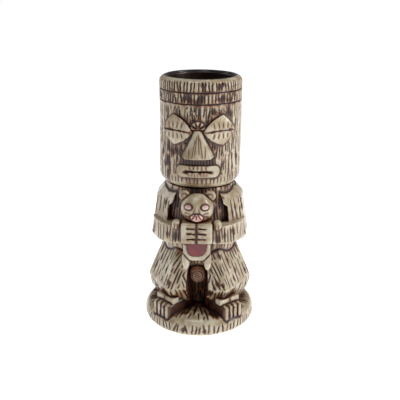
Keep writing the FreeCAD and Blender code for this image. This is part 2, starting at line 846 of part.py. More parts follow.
def bear_ears(torso_form, head):
    blank = ellipsoid(
        "bear_ear_blank",
        "2 * bear_ear_radius",
        "2 * bear_ear_depth",
        "2 * bear_ear_radius",
        "bear_ear_side",
        "-(belly_radius + bear_ear_reach)",
        f"{BEAR_HEAD} + bear_ear_rise",
    )
    return pair("bear_ear", trimmed("left_bear_ear", blank, torso_form, head))


def bear_eyes(head):
    """Lens-shaped eyes, raised a little from the bear's face."""
    side, rise = "(2 * bear_eye_side / bear_head_width)", "(2 * bear_eye_rise / bear_head_height)"
    depth = f"(bear_head_depth / 2 * sqrt(1 - {side}^2 - {rise}^2))"
    blank = ellipsoid(
        "bear_eye_blank",
        "bear_eye_width",
        "4 * bear_eye_proud",
        "bear_eye_height",
        "bear_eye_side",
        f"-(belly_radius + bear_head_reach + {depth} - bear_eye_proud)",
        f"{BEAR_HEAD} + bear_eye_rise",
        turn="bear_eye_turn",
    )
    return pair("bear_eye", trimmed("left_bear_eye", blank, head))


def bear_muzzle(head, both_hands, trunk):
    blank = ellipsoid(
        "bear_muzzle_blank",
        "muzzle_width",
        "muzzle_depth",
        "muzzle_height",
        y="-(belly_radius + muzzle_reach)",
        z=f"{BEAR_HEAD} - muzzle_fall",
    )
    return part("bear_muzzle", trimmed("bear_muzzle", blank, head, *both_hands, trunk))


def bear_paws(torso_form, left_hand, left_arm, head):
    blank = ellipsoid(
        "bear_paw_blank",
        "paw_width",
        "paw_depth",
        "paw_height",
        "paw_side",
        "-(belly_radius + paw_reach)",
        f"{HEAD_FOOT} - paw_drop",
    )
    return pair("bear_paw", trimmed("left_bear_paw", blank, torso_form, left_hand, left_arm, head))


def bear_body(torso_form, both_hands, both_arms, head):
    """The bear's trunk, from behind the hands down to a rounded seat, and the red patch let into it."""
    front = "(belly_radius + bear_body_reach)"
    foot = f"{HEAD_FOOT} - bear_body_foot_drop"
    round_seat = "bear_body_width * 0.36"
    body, sketch = body_with_sketch("bear_body_blank", "XZ_Plane")
    polygon(sketch, box_points("bear_body_width", foot, "bear_body_foot_drop - hand_top_drop - 3"))
    padded(body, sketch, front)
    rounded(body, round_seat, low_side_edge(foot))
    rounded(body, "bear_body_round", at_front(front))

    patch_foot = f"{HAND_FOOT} - patch_height"
    patch, patch_sketch = body_with_sketch("patch_blank", "XZ_Plane")
    polygon(patch_sketch, box_points("patch_width", patch_foot, "patch_height"))
    padded(patch, patch_sketch, f"({front} + patch_proud)")
    rounded(patch, "patch_width * 0.42", low_side_edge(patch_foot))
    inlay = trimmed("belly_patch", patch, box_behind("patch_back", f"{front} - patch_set"))
    part("belly_patch", inlay)
    hosts = (torso_form, *both_hands, *both_arms, head, inlay)
    return part("bear_body", trimmed("bear_body", body, *hosts))


def bear_legs(torso_form, trunk, left_arm):
    blank = ellipsoid(
        "bear_leg_blank",
        "bear_leg_width",
        "bear_leg_depth",
        "bear_leg_length",
        "bear_leg_side",
        "-(belly_radius + bear_leg_reach)",
        f"{HEAD_FOOT} - bear_leg_drop",
    )
    return pair("bear_leg", trimmed("left_bear_leg", blank, trunk, torso_form, left_arm))


# Legs, feet and pendant


def leg_level(name, level, stage):
    inner, ridge, side = (f"belly_radius + {stage}_{corner}_reach" for corner in ("inner", "ridge", "side"))
    points = [
        polar(inner, "leg_inner_angle"),
        polar(ridge, "leg_ridge_angle"),
        polar(side, "leg_side_angle"),
        polar(f"({inner} + {side}) / 2", "leg_back_angle"),
        ("leg_root_side", "leg_root_back"),
    ]
    return level_sketch(name, f"disc_height + {level}", points)


def legs(torso_form, left_arm, trunk, left_bear_leg):
    """Squatting legs with the knees out: one tapering block from hip to ankle on each side."""
    blank = loft(
        "leg_blank",
        [
            leg_level("leg_ankle", "0", "ankle"),
            leg_level("leg_calf", "calf_level", "calf"),
            leg_level("leg_knee", "knee_level", "knee"),
            leg_level("leg_thigh", "thigh_level", "thigh"),
            leg_level("leg_hip", "hip_level", "hip"),
        ],
        ruled=True,
    )
    return pair("leg", trimmed("left_leg", blank, torso_form, left_arm, trunk, left_bear_leg))


def across(name, points, width):
    """A side view outline in the YZ plane, padded equally to both sides."""
    body, sketch = body_with_sketch(name, "YZ_Plane")
    polygon(sketch, points)
    padded(body, sketch, width)
    body.Tip.Midplane = True
    doc.recompute()
    return body


def feet(disc, left_leg):
    """Each foot is a wedge that points outwards, and laps over the disc's rounded edge."""
    foot = "disc_height - foot_sink"
    heel, toe = "-(belly_radius + heel_reach)", "-(disc_radius - toe_inset)"
    points = [
        (heel, foot),
        (heel, "disc_height + heel_height"),
        (toe, "disc_height + toe_height"),
        (toe, foot),
    ]
    blank = across("foot_blank", points, "foot_width")
    front = value("disc_radius - toe_inset")
    top = value(foot) + CORNER

    def above_toes(edge):
        """The upper edges and the upright front edges of the foot."""
        points = [vertex.Point for vertex in edge.Vertexes]
        upper = all(point.z > top for point in points)
        upright = all(abs(point.y + front) < CORNER for point in points)
        return (upper and min(point.y for point in points) < -value("belly_radius")) or upright and any(
            point.z > top for point in points
        )

    rounded(blank, "foot_round", above_toes)
    item = put(blank, turn="foot_angle")
    for number in (1, 2, 3):
        cut = doc.addObject("Part::Box", f"toe_cut_{number}")
        bind(cut, {"Length": "toe_gap", "Width": f"toe_cut + {PAST}", "Height": "disc_height + heel_height"})
        side, ahead = f"(foot_width * ({number} / 4 - 0.5) - toe_gap / 2)", f"({toe} - {PAST})"
        x = f"{side} * cos(foot_angle) - {ahead} * sin(foot_angle)"
        y = f"{side} * sin(foot_angle) + {ahead} * cos(foot_angle)"
        put(cut, x, y, foot, turn="foot_angle")
        item = combined("Cut", f"foot_toes_{number}", item, cut)
    return pair("foot", trimmed("left_foot", item, disc, left_leg))


def anklets(left_leg, left_foot):
    """A strap across the front of each ankle."""
    reach = "(belly_radius + calf_ridge_reach + anklet_proud)"
    back, front = f"-({reach} - anklet_depth)", f"-{reach}"
    foot, top = "disc_height + anklet_level", "disc_height + anklet_level + anklet_height"
    blank = across("anklet_blank", [(back, foot), (back, top), (front, top), (front, foot)], "anklet_width")
    rounded(blank, "anklet_round", at_front(reach))
    put(blank, turn="foot_angle")
    return pair("anklet", trimmed("left_anklet", blank, left_leg, left_foot))


def pendant(torso_form, both_legs, bear_parts):
    blank = ellipsoid(
        "pendant_blank",
        "pendant_width",
        "pendant_depth",
        "pendant_height",
        y="-(belly_radius - pendant_inset)",
        z="disc_height + pendant_level",
    )
    return part("pendant", trimmed("pendant", blank, torso_form, *both_legs, *bear_parts))


def build():
    fill_sheet()
    disc = foot_disc()
    torso_form = torso_loft("torso_form", "0", "0", NECK)
    _, cavity = torso(torso_form)
    head_cup()
    crown_band()
    rim_band()
    inner_glaze(cavity)
    head_form = cylinder("head_form", "head_radius", HEAD_FOOT, "head_height")
    both_eyes = eyes(head_form)
    nose_part = nose(head_form)
    brow_fan(head_form, (nose_part, *both_eyes))
    teeth_row(head_form, nose_part)
    mouth(head_form)
    both_hands = hands()
    both_arms = arms(torso_form, both_hands[0])
    left_arm = both_arms[0]
    head = bear_head(torso_form, both_hands)
    bear_ears(torso_form, head)
    bear_eyes(head)
    bear_paws(torso_form, both_hands[0], left_arm, head)
    trunk = bear_body(torso_form, both_hands, both_arms, head)
    bear_muzzle(head, both_hands, trunk)
    both_bear_legs = bear_legs(torso_form, trunk, left_arm)
    left_leg, right_leg = legs(torso_form, left_arm, trunk, both_bear_legs[0])
    left_foot, _ = feet(disc, left_leg)
    anklets(left_leg, left_foot)
    pendant(torso_form, (left_leg, right_leg), (trunk, *both_bear_legs))
    doc.recompute()


def check():
    """Stops the build if any object failed, or if a sub-part has no valid solid."""
    failed = [item.Name for item in doc.Objects if {"Invalid", "Error"} & set(item.State)]
    if failed:
        raise RuntimeError(f"these objects failed: {failed}")
    for item in parts:
        shape = item.Shape
        if shape.isNull() or not shape.isValid() or not shape.Solids:
            raise RuntimeError(f"{item.Label} has no valid solid")


def write():
    os.makedirs("parts", exist_ok=True)
    for item in parts:
        item.Shape.exportStep(f"parts/{item.Label}.step")
        print(f"{item.Label:16s} {len(item.Shape.Solids)} solid(s) {item.Shape.Volume / 1000:8.2f} cm3")


build()
check()
write()
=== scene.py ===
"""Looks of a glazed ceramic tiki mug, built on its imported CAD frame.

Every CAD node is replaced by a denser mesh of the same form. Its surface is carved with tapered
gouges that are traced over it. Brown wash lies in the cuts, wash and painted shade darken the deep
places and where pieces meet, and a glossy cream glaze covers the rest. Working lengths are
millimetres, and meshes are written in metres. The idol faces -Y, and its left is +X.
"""

import math

import bpy
import numpy as np
from mathutils import Matrix, Vector
from mathutils.bvhtree import BVHTree
from mathutils.kdtree import KDTree


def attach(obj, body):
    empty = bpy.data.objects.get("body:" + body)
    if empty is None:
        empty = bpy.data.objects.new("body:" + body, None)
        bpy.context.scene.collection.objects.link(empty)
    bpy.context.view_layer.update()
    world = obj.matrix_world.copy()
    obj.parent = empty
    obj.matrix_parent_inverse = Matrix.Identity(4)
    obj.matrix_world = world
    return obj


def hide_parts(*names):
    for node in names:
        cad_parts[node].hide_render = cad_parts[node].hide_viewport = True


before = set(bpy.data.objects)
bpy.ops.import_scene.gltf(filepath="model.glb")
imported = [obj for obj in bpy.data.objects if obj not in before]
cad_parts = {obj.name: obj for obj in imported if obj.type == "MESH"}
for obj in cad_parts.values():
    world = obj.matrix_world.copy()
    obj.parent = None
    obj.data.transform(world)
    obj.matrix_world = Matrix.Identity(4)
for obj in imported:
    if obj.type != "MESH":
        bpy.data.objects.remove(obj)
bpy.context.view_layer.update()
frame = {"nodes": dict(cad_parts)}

UP = np.array([0.0, 0.0, 1.0])
MM = 1000  # millimetres in a metre
WELD = 2000  # points that round to the same place on this many steps to a millimetre are one
TURN = 2 * math.pi
RANGE = ("From Min", "From Max", "To Min", "To Max")
nodes = frame["nodes"]


# ---------------- mesh arrays


def node_arrays(name):
    """A CAD node's vertices in millimetres and its triangles, with split edges welded."""
    mesh = nodes[name].data
    verts = np.empty(len(mesh.vertices) * 3)
    mesh.vertices.foreach_get("co", verts)
    verts = verts.reshape(-1, 3) * MM
    mesh.calc_loop_triangles()
    tris = np.empty(len(mesh.loop_triangles) * 3, dtype=np.int64)
    mesh.loop_triangles.foreach_get("vertices", tris)
    keys = np.round(verts * WELD).astype(np.int64)
    _, first, back = np.unique(keys, axis=0, return_index=True, return_inverse=True)
    tris = back.reshape(-1)[tris].reshape(-1, 3)
    solid = (tris[:, 0] != tris[:, 1]) & (tris[:, 1] != tris[:, 2]) & (tris[:, 0] != tris[:, 2])
    return verts[first], tris[solid]


CAD = {name: node_arrays(name) for name in sorted(nodes)}


def tree_of(names):
    """The faces of some CAD nodes, ready for looking up what is near."""
    verts, tris, start = [], [], 0
    for name in names:
        v, t = CAD[name]
        verts.append(v)
        tris.append(t + start)
        start += len(v)
    return BVHTree.FromPolygons(np.vstack(verts).tolist(), np.vstack(tris).tolist())


def near(name, reach=4.0):
    """The nodes whose boxes come within reach of a node's box."""
    low, high = CAD[name][0].min(0) - reach, CAD[name][0].max(0) + reach
    return [
        other
        for other, (v, _) in CAD.items()
        if other != name and (v.min(0) < high).all() and (v.max(0) > low).all()
    ]


def vertex_normals(verts, quads):
    """Each vertex's outward direction, from the quads round it."""
    a, b, c, d = (verts[quads[:, k]] for k in range(4))
    face = np.cross(c - a, d - b)
    total = np.zeros_like(verts)
    for k in range(4):
        for axis in range(3):
            total[:, axis] += np.bincount(quads[:, k], face[:, axis], len(verts))
    return total / np.maximum(np.linalg.norm(total, axis=1, keepdims=True), 1e-9)


def relaxed(values, quads, times, pull=0.5):
    """Averages values over neighbouring vertices."""
    count = len(values)
    a = quads.reshape(-1)
    b = np.roll(quads, -1, axis=1).reshape(-1)
    weight = np.maximum(np.bincount(a, minlength=count) + np.bincount(b, minlength=count), 1)
    flat = values.reshape(count, -1).astype(float)
    for _ in range(times):
        for axis in range(flat.shape[1]):
            column = flat[:, axis]
            mean = (np.bincount(a, column[b], count) + np.bincount(b, column[a], count)) / weight
            flat[:, axis] += pull * (mean - column)
    return flat.reshape(values.shape)


def voxel_blank(name, voxel, smooth):
    """A node's form as even quads, with its edges softened as clay's are."""
    verts, tris = CAD[name]
    mesh = bpy.data.meshes.new("blank")
    mesh.from_pydata((verts / MM).tolist(), [], tris.tolist())
    obj = bpy.data.objects.new("blank", mesh)
    bpy.context.scene.collection.objects.link(obj)
    mod = obj.modifiers.new("remesh", "REMESH")
    mod.mode = "VOXEL"
    mod.voxel_size = voxel / MM
    graph = bpy.context.evaluated_depsgraph_get()
    done = bpy.data.meshes.new_from_object(obj.evaluated_get(graph))
    out = np.empty(len(done.vertices) * 3)
    done.vertices.foreach_get("co", out)
    quads = np.empty(len(done.loops), dtype=np.int64)
    done.loops.foreach_get("vertex_index", quads)
    bpy.data.objects.remove(obj)
    bpy.data.meshes.remove(mesh)
    bpy.data.meshes.remove(done)
    quads = quads.reshape(-1, 4)
    return relaxed(out.reshape(-1, 3) * MM, quads, smooth), quads, []


def ring_blank(profile, columns, centre=None, wobble=None):
    """A turned form from a profile of (radius, height) points. An open profile is capped."""
    profile = np.asarray(profile, float)
    closed = np.allclose(profile[0], profile[-1])
    if closed:
        profile = profile[:-1]
    angle = np.arange(columns) * (TURN / columns)
    radius = np.repeat(profile[:, :1], columns, axis=1)
    height = np.repeat(profile[:, 1:], columns, axis=1)
    if wobble is not None:
        radius = radius + wobble(angle[None, :], height, radius)
    shift = 0 if centre is None else centre(height)
    verts = np.stack([radius * np.sin(angle), shift - radius * np.cos(angle), height], axis=2)
    rows = len(profile)
    row = np.arange(rows if closed else rows - 1)[:, None]
    col = np.arange(columns)[None, :]
    below, above = row * columns, ((row + 1) % rows) * columns
    right = (col + 1) % columns
    quads = np.stack([below + col, below + right, above + right, above + col], axis=2)
    caps = []
    if not closed:
        caps = [list(range(columns))[::-1], [(rows - 1) * columns + k for k in range(columns)]]
    return verts.reshape(-1, 3), quads.reshape(-1, 4), caps


def along(points, step):
    """The points of a polyline at even steps, with its corners kept."""
    out = [points[0]]
    for a, b in zip(points, points[1:]):
        count = max(1, round(math.dist(a, b) / step))
        out += [
            (a[0] + (b[0] - a[0]) * k / count, a[1] + (b[1] - a[1]) * k / count)
            for k in range(1, count + 1)
        ]
    return out


def arc(centre, radius, start, end, step):
    """Points on an arc between two angles in degrees."""
    count = max(2, round(abs(math.radians(end - start)) * radius / step))
    turn = np.radians(np.linspace(start, end, count + 1))
    return [(centre[0] + radius * math.cos(t), centre[1] + radius * math.sin(t)) for t in turn]


# ---------------- surfaces of a piece


class Clay:
    """One piece's dense mesh while it is worked: its points, normals and what surrounds them.

    gap is each point's distance from other pieces. cut and cut_size hold the gouges' points, and
    their widths, depths and stains. soot is painted shade added where shade falls, paint lies over
    the glaze, bare marks points that no gouge may cross, and seam is how far wash and painted
    crease shade spread from a neighbour.
    """

    FAR = 9.0  # the gap of a point with no neighbour
    LOOK = 3.0  # how far away a neighbour is looked for
    TOUCH = 0.35  # the gap within which a facing surface counts as hidden
    SINK = 0.4  # how deep a hidden face is sunk into its neighbour
    CLEAR = 1.1  # the gap that a gouge starts with
    STOP = 0.8  # the gap at which a gouge ends
    CUT_STEP = 0.3  # spacing of the points kept along a gouge
    BED = 1.25  # half of a gouge's bed, in widths
    LIP_AT, LIP_SPREAD, LIP_RISE = 1.9, 0.5, 0.12  # the clay raised beside a gouge
    EDGE_FADE = 0.85  # how soon the dark of a gouge fades, in widths
    HALO = 1.35  # how far its stain spreads

    def __init__(self, name, blank, seed=0):
        self.name = name
        self.verts, self.quads, self.caps = blank
        a, b, c, d = (self.verts[self.quads[:, k]] for k in range(4))
        if np.einsum("ij,ij->i", a + c, np.cross(c - a, d - b)).sum() < 0:
            self.quads = self.quads[:, ::-1].copy()
            self.caps = [cap[::-1] for cap in self.caps]
        self.rng = np.random.default_rng(seed)
        self.normals = vertex_normals(self.verts, self.quads)
        self.seat()
        self.tree = KDTree(len(self.verts))
        for k, v in enumerate(self.verts.tolist()):
            self.tree.insert(v, k)
        self.tree.balance()
        self.cut = np.zeros((0, 3))
        self.cut_size = np.zeros((0, 3))
        self.paint = np.zeros((len(self.verts), 4))
        # painted shade: extra darkening for places where shade falls
        self.painted_shade = np.zeros(len(self.verts))
        self.bare = np.zeros(len(self.verts), dtype=bool)
        self.seam = 0.95

    def seat(self):
        """Measures each point's gap, and sinks hidden faces into what they sit on."""
        others = near(self.name)
        self.gap = np.full(len(self.verts), self.FAR)
        if not others:
            return
        tree = tree_of(others)
        facing = np.zeros(len(self.verts))
        for k, v in enumerate(self.verts.tolist()):
            _, normal, _, dist = tree.find_nearest(v, self.LOOK)
            if dist is not None:
                self.gap[k] = dist
                facing[k] = -np.dot(self.normals[k], normal)
        hidden = np.clip((facing - 0.5) / 0.4, 0, 1) * np.exp(-((self.gap / self.TOUCH) ** 2))
        if self.name not in FIXED:
            self.verts = self.verts + self.normals * (self.SINK * hidden)[:, None]

    def keep_edges_bare(self, times=12, limit=0.16):
        """Keeps gouges off sharp edges."""
        soft = relaxed(self.normals, self.quads, times)
        self.bare |= np.linalg.norm(self.normals - soft, axis=1) > limit

    def nearest(self, point):
        """The index of the point of the surface that is nearest to a place."""
        return self.tree.find(point)[1]

    def add(self, points, width, depth, stain=1.0):
        """Records a gouge along points, with ends that taper."""
        points = np.asarray(points, float)
        step = np.linalg.norm(np.diff(points, axis=0), axis=1)
        run = np.concatenate([[0], np.cumsum(step)])
        count = max(3, int(run[-1] / self.CUT_STEP))
        where = np.linspace(0, run[-1], count)
        fine = np.stack([np.interp(where, run, points[:, k]) for k in range(3)], axis=1)
        t = np.linspace(-1, 1, count)
        taper = np.sqrt(np.clip(1 - np.abs(t) ** 3, 0.02, 1))
        self.cut = np.vstack([self.cut, fine])
        size = [width * (0.35 + 0.65 * taper), depth * taper, np.full(count, stain)]
        self.cut_size = np.vstack([self.cut_size, np.stack(size, axis=1)])

    def drape(self, points):
        """Points moved to the nearest place on the surface."""
        return [self.verts[self.nearest(p)] for p in points]

    def press(self, points):
        """Points moved onto the front of the piece, straight back from where they are."""
        front = np.nonzero(self.normals[:, 1] < -0.12)[0]
        flat, depth = self.verts[front][:, [0, 2]], self.verts[front][:, 1]
        found = []
        for p in points:
            away = np.hypot(flat[:, 0] - p[0], flat[:, 1] - p[2])
            found.append(self.verts[front[int(np.argmin(away + 0.02 * (depth - depth.min())))]])
        return found

    def carve_line(self, points, width=0.55, depth=0.5, stain=1.0, step=0.6, facing=False):
        """A gouge along a line of points given near the surface, or in front of it."""
        fine = []
        for a, b in zip(points, points[1:]):
            a, b = np.asarray(a, float), np.asarray(b, float)
            count = max(2, int(np.linalg.norm(b - a) / step))
            fine += [a + (b - a) * k / count for k in range(count)]
        fine.append(np.asarray(points[-1], float))
        self.add(self.press(fine) if facing else self.drape(fine), width, depth, stain)

    def trace(self, start, half, heading, flat=0.25, step=1.0):
        """Follows the surface both ways from a point, in the direction that heading gives."""
        first = self.nearest(start)
        arms = []
        for sign in (1, -1):
            point, arm, at = self.verts[first], [], first
            for _ in range(int(half / step)):
                normal = self.normals[at]
                way = heading(point, normal)
                way = way - normal * np.dot(way, normal)
                size = np.linalg.norm(way)
                if size < 0.15:
                    break
                ahead = point + way * (sign * step / size)
                at = self.nearest(ahead)
                normal = self.normals[at]
                ahead = ahead - normal * np.dot(ahead - self.verts[at], normal)
                turned = np.dot(normal, self.normals[first]) < flat
                if self.gap[at] < self.STOP or self.bare[at] or turned:
                    break
                point = ahead
                arm.append(point)
            arms.append(arm)
        return np.array(arms[1][::-1] + [self.verts[first]] + arms[0])

    def hatch(self, tries, where, heading, spread, length, width, lean, least=4, flat=0.25):
        """Covers a region with gouges in about one direction, none closer to another than spread.

        length is half of a gouge's length, lean how far its direction strays, least the fewest
        points that it may have, and flat how far the surface may turn along it.
        """
        placed = np.vstack([self.cut, np.full((1, 3), 1e3)])
        open_at = np.nonzero((self.gap > self.CLEAR) & ~self.bare & where(self.verts))[0]
        if not len(open_at):
            return
        for _ in range(tries):
            seed = self.verts[open_at[self.rng.integers(len(open_at))]]
            aside = abs(self.normals[self.nearest(seed)][0])
            keep = self.rng.uniform(*spread) * (1 + 0.55 * np.clip((aside - 0.55) / 0.3, 0, 1))
            half = self.rng.uniform(*length)
            size = self.rng.uniform(*width)
            tilt = self.rng.normal(0, lean)
            if np.linalg.norm(placed - seed, axis=1).min() < keep:
                continue

            def way(point, normal):
                return turned_by(heading(point, normal), normal, tilt)

            line = self.trace(seed, half, way, flat)
            ends = [0, len(line)]
            far = np.linalg.norm(placed[:, None, :] - line[None, :, :], axis=2).min(0) > keep
            middle = int(np.argmin(np.linalg.norm(line - seed, axis=1)))
            while ends[0] < middle and not far[ends[0] : middle].all():
                ends[0] += 1
            while ends[1] > middle + 1 and not far[middle : ends[1]].all():
                ends[1] -= 1
            line = line[ends[0] : ends[1]]
            line = line[where(line)]
            if len(line) < least:
                continue
            self.add(line, size, size * self.rng.uniform(0.75, 1.0))
            placed = np.vstack([placed, line])

    def carve(self):
        """Cuts the recorded gouges into the surface, and keeps how deep in one each point lies."""
        count = len(self.verts)
        self.groove = np.zeros(count)
        self.halo = np.zeros(count)
        if not len(self.cut):
            return
        tree = KDTree(len(self.cut))
        for k, v in enumerate(self.cut.tolist()):
            tree.insert(v, k)
        tree.balance()
        index = np.empty(count, dtype=np.int64)
        dist = np.empty(count)
        for k, v in enumerate(self.verts.tolist()):
            _, index[k], dist[k] = tree.find(v)
        width, depth, stain = self.cut_size[index].T
        q = dist / width
        sunk = np.where(q < self.BED, (1 - (q / self.BED) ** 2) ** 2, 0)
        lifted = np.exp(-(((q - self.LIP_AT) / self.LIP_SPREAD) ** 2)) * self.LIP_RISE
        self.verts = self.verts + self.normals * (depth * (lifted - sunk))[:, None]
        self.groove = np.exp(-((q / self.EDGE_FADE) ** 2)) * stain
        self.halo = np.exp(-((dist / self.HALO) ** 2)) * stain
        self.normals = vertex_normals(self.verts, self.quads)


def turned_by(way, normal, angle):
    """A direction turned about a normal."""
    return way * math.cos(angle) + np.cross(normal, way) * math.sin(angle)


# ---------------- deep places, for painted shade


ALL = tree_of(sorted(CAD))
RAYS = 18
GOLDEN_ANGLE = 2.399963


def sky_ray(k):
    """One of the directions, spread evenly over a half sphere, in which a point looks."""
    z = 1 - (k + 0.5) / RAYS
    r = math.sqrt(1 - z * z)
    t = k * GOLDEN_ANGLE
    return r * math.cos(t), r * math.sin(t), z


SKY = np.array([sky_ray(k) for k in range(RAYS)])


def enclosure(clay, reach=16.0):
    """How much of what each point could see within reach is clay.

    It is measured at one point in about 45, and each other point takes its nearest one's figure.
    """
    count = len(clay.verts)
    some = clay.rng.choice(count, min(count, max(500, count // 45)), replace=False)
    tree = KDTree(len(some))
    found = np.empty(len(some))
    for k, at in enumerate(some):
        point, normal = clay.verts[at], clay.normals[at]
        side = np.cross(normal, UP if abs(normal[2]) < 0.9 else (1.0, 0, 0))
        side /= np.linalg.norm(side)
        basis = np.stack([side, np.cross(normal, side), normal])
        start = Vector(point + normal * 0.6)  # clear of its own surface
        total = 0.0
        for ray in SKY @ basis:
            hit = ALL.ray_cast(start, Vector(ray), reach)[3]
            if hit is not None:
                total += 1 - hit / reach
        found[k] = total / len(SKY)
        tree.insert(point, k)
    tree.balance()
    spread = np.array([found[tree.find(v)[1]] for v in clay.verts.tolist()])
    return relaxed(spread, clay.quads, 14, 0.8)


# ---------------- materials


def linear(red, green, blue):
    """A colour given in screen values of 0 to 255, as light values."""
    light = []
    for c in (red, green, blue):
        light.append(((c / 255 + 0.055) / 1.055) ** 2.4 if c > 10 else c / 3294.6)
    return (*light, 1.0)


class Graph:
    """A few short names for building a material's nodes."""

    def __init__(self, material):
        material.use_nodes = True
        self.tree = material.node_tree
        self.tree.nodes.clear()

    def node(self, kind, **settings):
        made = self.tree.nodes.new(kind)
        for name, setting in settings.items():
            setattr(made, name, setting)
        return made

    def feed(self, socket, source):
        if hasattr(source, "is_output"):
            self.tree.links.new(source, socket)
        else:
            socket.default_value = source

    def noise(self, scale, detail=4.0, rough=0.55, stretch=(1, 1, 1)):
        place = self.node("ShaderNodeTexCoord").outputs["Object"]
        if stretch != (1, 1, 1):
            mapped = self.node("ShaderNodeMapping")
            self.feed(mapped.inputs["Vector"], place)
            mapped.inputs["Scale"].default_value = stretch
            place = mapped.outputs["Vector"]
        made = self.node("ShaderNodeTexNoise")
        self.feed(made.inputs["Vector"], place)
        made.inputs["Scale"].default_value = scale
        made.inputs["Detail"].default_value = detail
        made.inputs["Roughness"].default_value = rough
        return made.outputs["Fac"]

    def sum(self, kind, a, b, clamp=False):
        made = self.node("ShaderNodeMath", operation=kind, use_clamp=clamp)
        self.feed(made.inputs[0], a)
        self.feed(made.inputs[1], b)
        return made.outputs[0]

    def fit(self, value, low, high, out_low=0.0, out_high=1.0):
        made = self.node("ShaderNodeMapRange", interpolation_type="SMOOTHSTEP")
        self.feed(made.inputs["Value"], value)
        for name, number in zip(RANGE, (low, high, out_low, out_high)):
            made.inputs[name].default_value = number
        return made.outputs["Result"]

    def mix(self, amount, a, b):
        made = self.node("ShaderNodeMix", data_type="RGBA")
        self.feed(made.inputs["Factor"], amount)
        colours = [s for s in made.inputs if s.type == "RGBA"]
        self.feed(colours[0], a)
        self.feed(colours[1], b)
        return next(s for s in made.outputs if s.type == "RGBA")

    def attribute(self, name):
        return self.node("ShaderNodeAttribute", attribute_name=name)


WASH_STAIN = (136, 94, 62)
WASH_SHADE = (82, 43, 24)
WASH_DARK = (40, 18, 9)


def glaze(name, pale, body, shade=WASH_SHADE, stain=WASH_STAIN, dark=WASH_DARK, gloss=0.12):
    """A glossy glaze over brown wash: body and pale are its own colours, the rest are the wash's,
    which also colour the painted shade.

    The attribute wash holds how deep in a gouge a point is, with painted shade in creases and deep
    places added; how much wash gathers there, with painted shade added; and how worn it is. The
    attribute paint is laid over the rest, as far as its alpha says.
    """
    material = bpy.data.materials.new(name)
    shade, stain, dark = linear(*shade), linear(*stain), linear(*dark)
    pale, body = linear(*pale), linear(*body)
    g = Graph(material)
    wash = g.node("ShaderNodeSeparateColor")
    g.feed(wash.inputs[0], g.attribute("wash").outputs["Color"])
    # the first two channels carry painted shade as well as the wash
    groove, pool_and_shade, wear = (wash.outputs[k] for k in range(3))
    paint = g.attribute("paint")
    broad, fine = g.noise(70, 3), g.noise(420, 5, 0.65)
    streak = g.noise(260, 4, 0.6, (1, 1, 0.28))
    cream = g.mix(g.fit(broad, 0.38, 0.62), body, pale)
    cream = g.mix(g.fit(streak, 0.46, 0.72, 0, 0.5), cream, stain)
    cream = g.mix(g.fit(wear, 0.15, 0.9, 0, 0.75), cream, pale)
    patchy = g.sum("ADD", pool_and_shade, g.sum("MULTIPLY", g.sum("SUBTRACT", broad, 0.5), 0.45))
    colour = g.mix(g.fit(patchy, 0.12, 0.5), cream, stain)
    colour = g.mix(g.fit(patchy, 0.4, 0.85), colour, shade)
    rough_edge = g.sum("ADD", groove, g.sum("MULTIPLY", g.sum("SUBTRACT", fine, 0.5), 0.5))
    colour = g.mix(g.fit(rough_edge, 0.22, 0.72), colour, dark)
    colour = g.mix(g.fit(fine, 0.72, 0.8, 0, 0.5), colour, shade)
    colour = g.mix(paint.outputs["Alpha"], colour, paint.outputs["Color"])
    shader = g.node("ShaderNodeBsdfPrincipled")
    g.feed(shader.inputs["Base Color"], colour)
    smooth = g.fit(fine, 0.2, 0.8, gloss, gloss + 0.16)
    rough = g.sum("ADD", smooth, g.sum("MULTIPLY", groove, 0.4), clamp=True)
    g.feed(shader.inputs["Roughness"], rough)
    shader.inputs["IOR"].default_value = 1.5
    shader.inputs["Coat Weight"].default_value = 0.25
    shader.inputs["Coat Roughness"].default_value = 0.07
    bump = g.node("ShaderNodeBump")
    bump.inputs["Strength"].default_value = 0.35
    bump.inputs["Distance"].default_value = 0.0004
    g.feed(bump.inputs["Height"], g.sum("ADD", g.sum("MULTIPLY", fine, 0.35), g.noise(150, 3)))
    g.feed(shader.inputs["Normal"], bump.outputs["Normal"])
    out = g.node("ShaderNodeOutputMaterial")
    g.feed(out.inputs["Surface"], shader.outputs["BSDF"])
    return material


CREAM = glaze("cream_glaze", (204, 194, 170), (168, 150, 120))
BROWN = glaze("brown_glaze", (158, 110, 94), (118, 72, 58))
DARK = glaze("dark_glaze", (36, 30, 28), (22, 18, 17), stain=(26, 20, 18), gloss=0.08)
RED = glaze("red_glaze", (138, 40, 46), (112, 28, 34), (64, 16, 16), (110, 26, 30))
PINK = glaze("pink_glaze", (232, 206, 194), (214, 176, 164), stain=(160, 86, 70))


# ---------------- finishing a piece


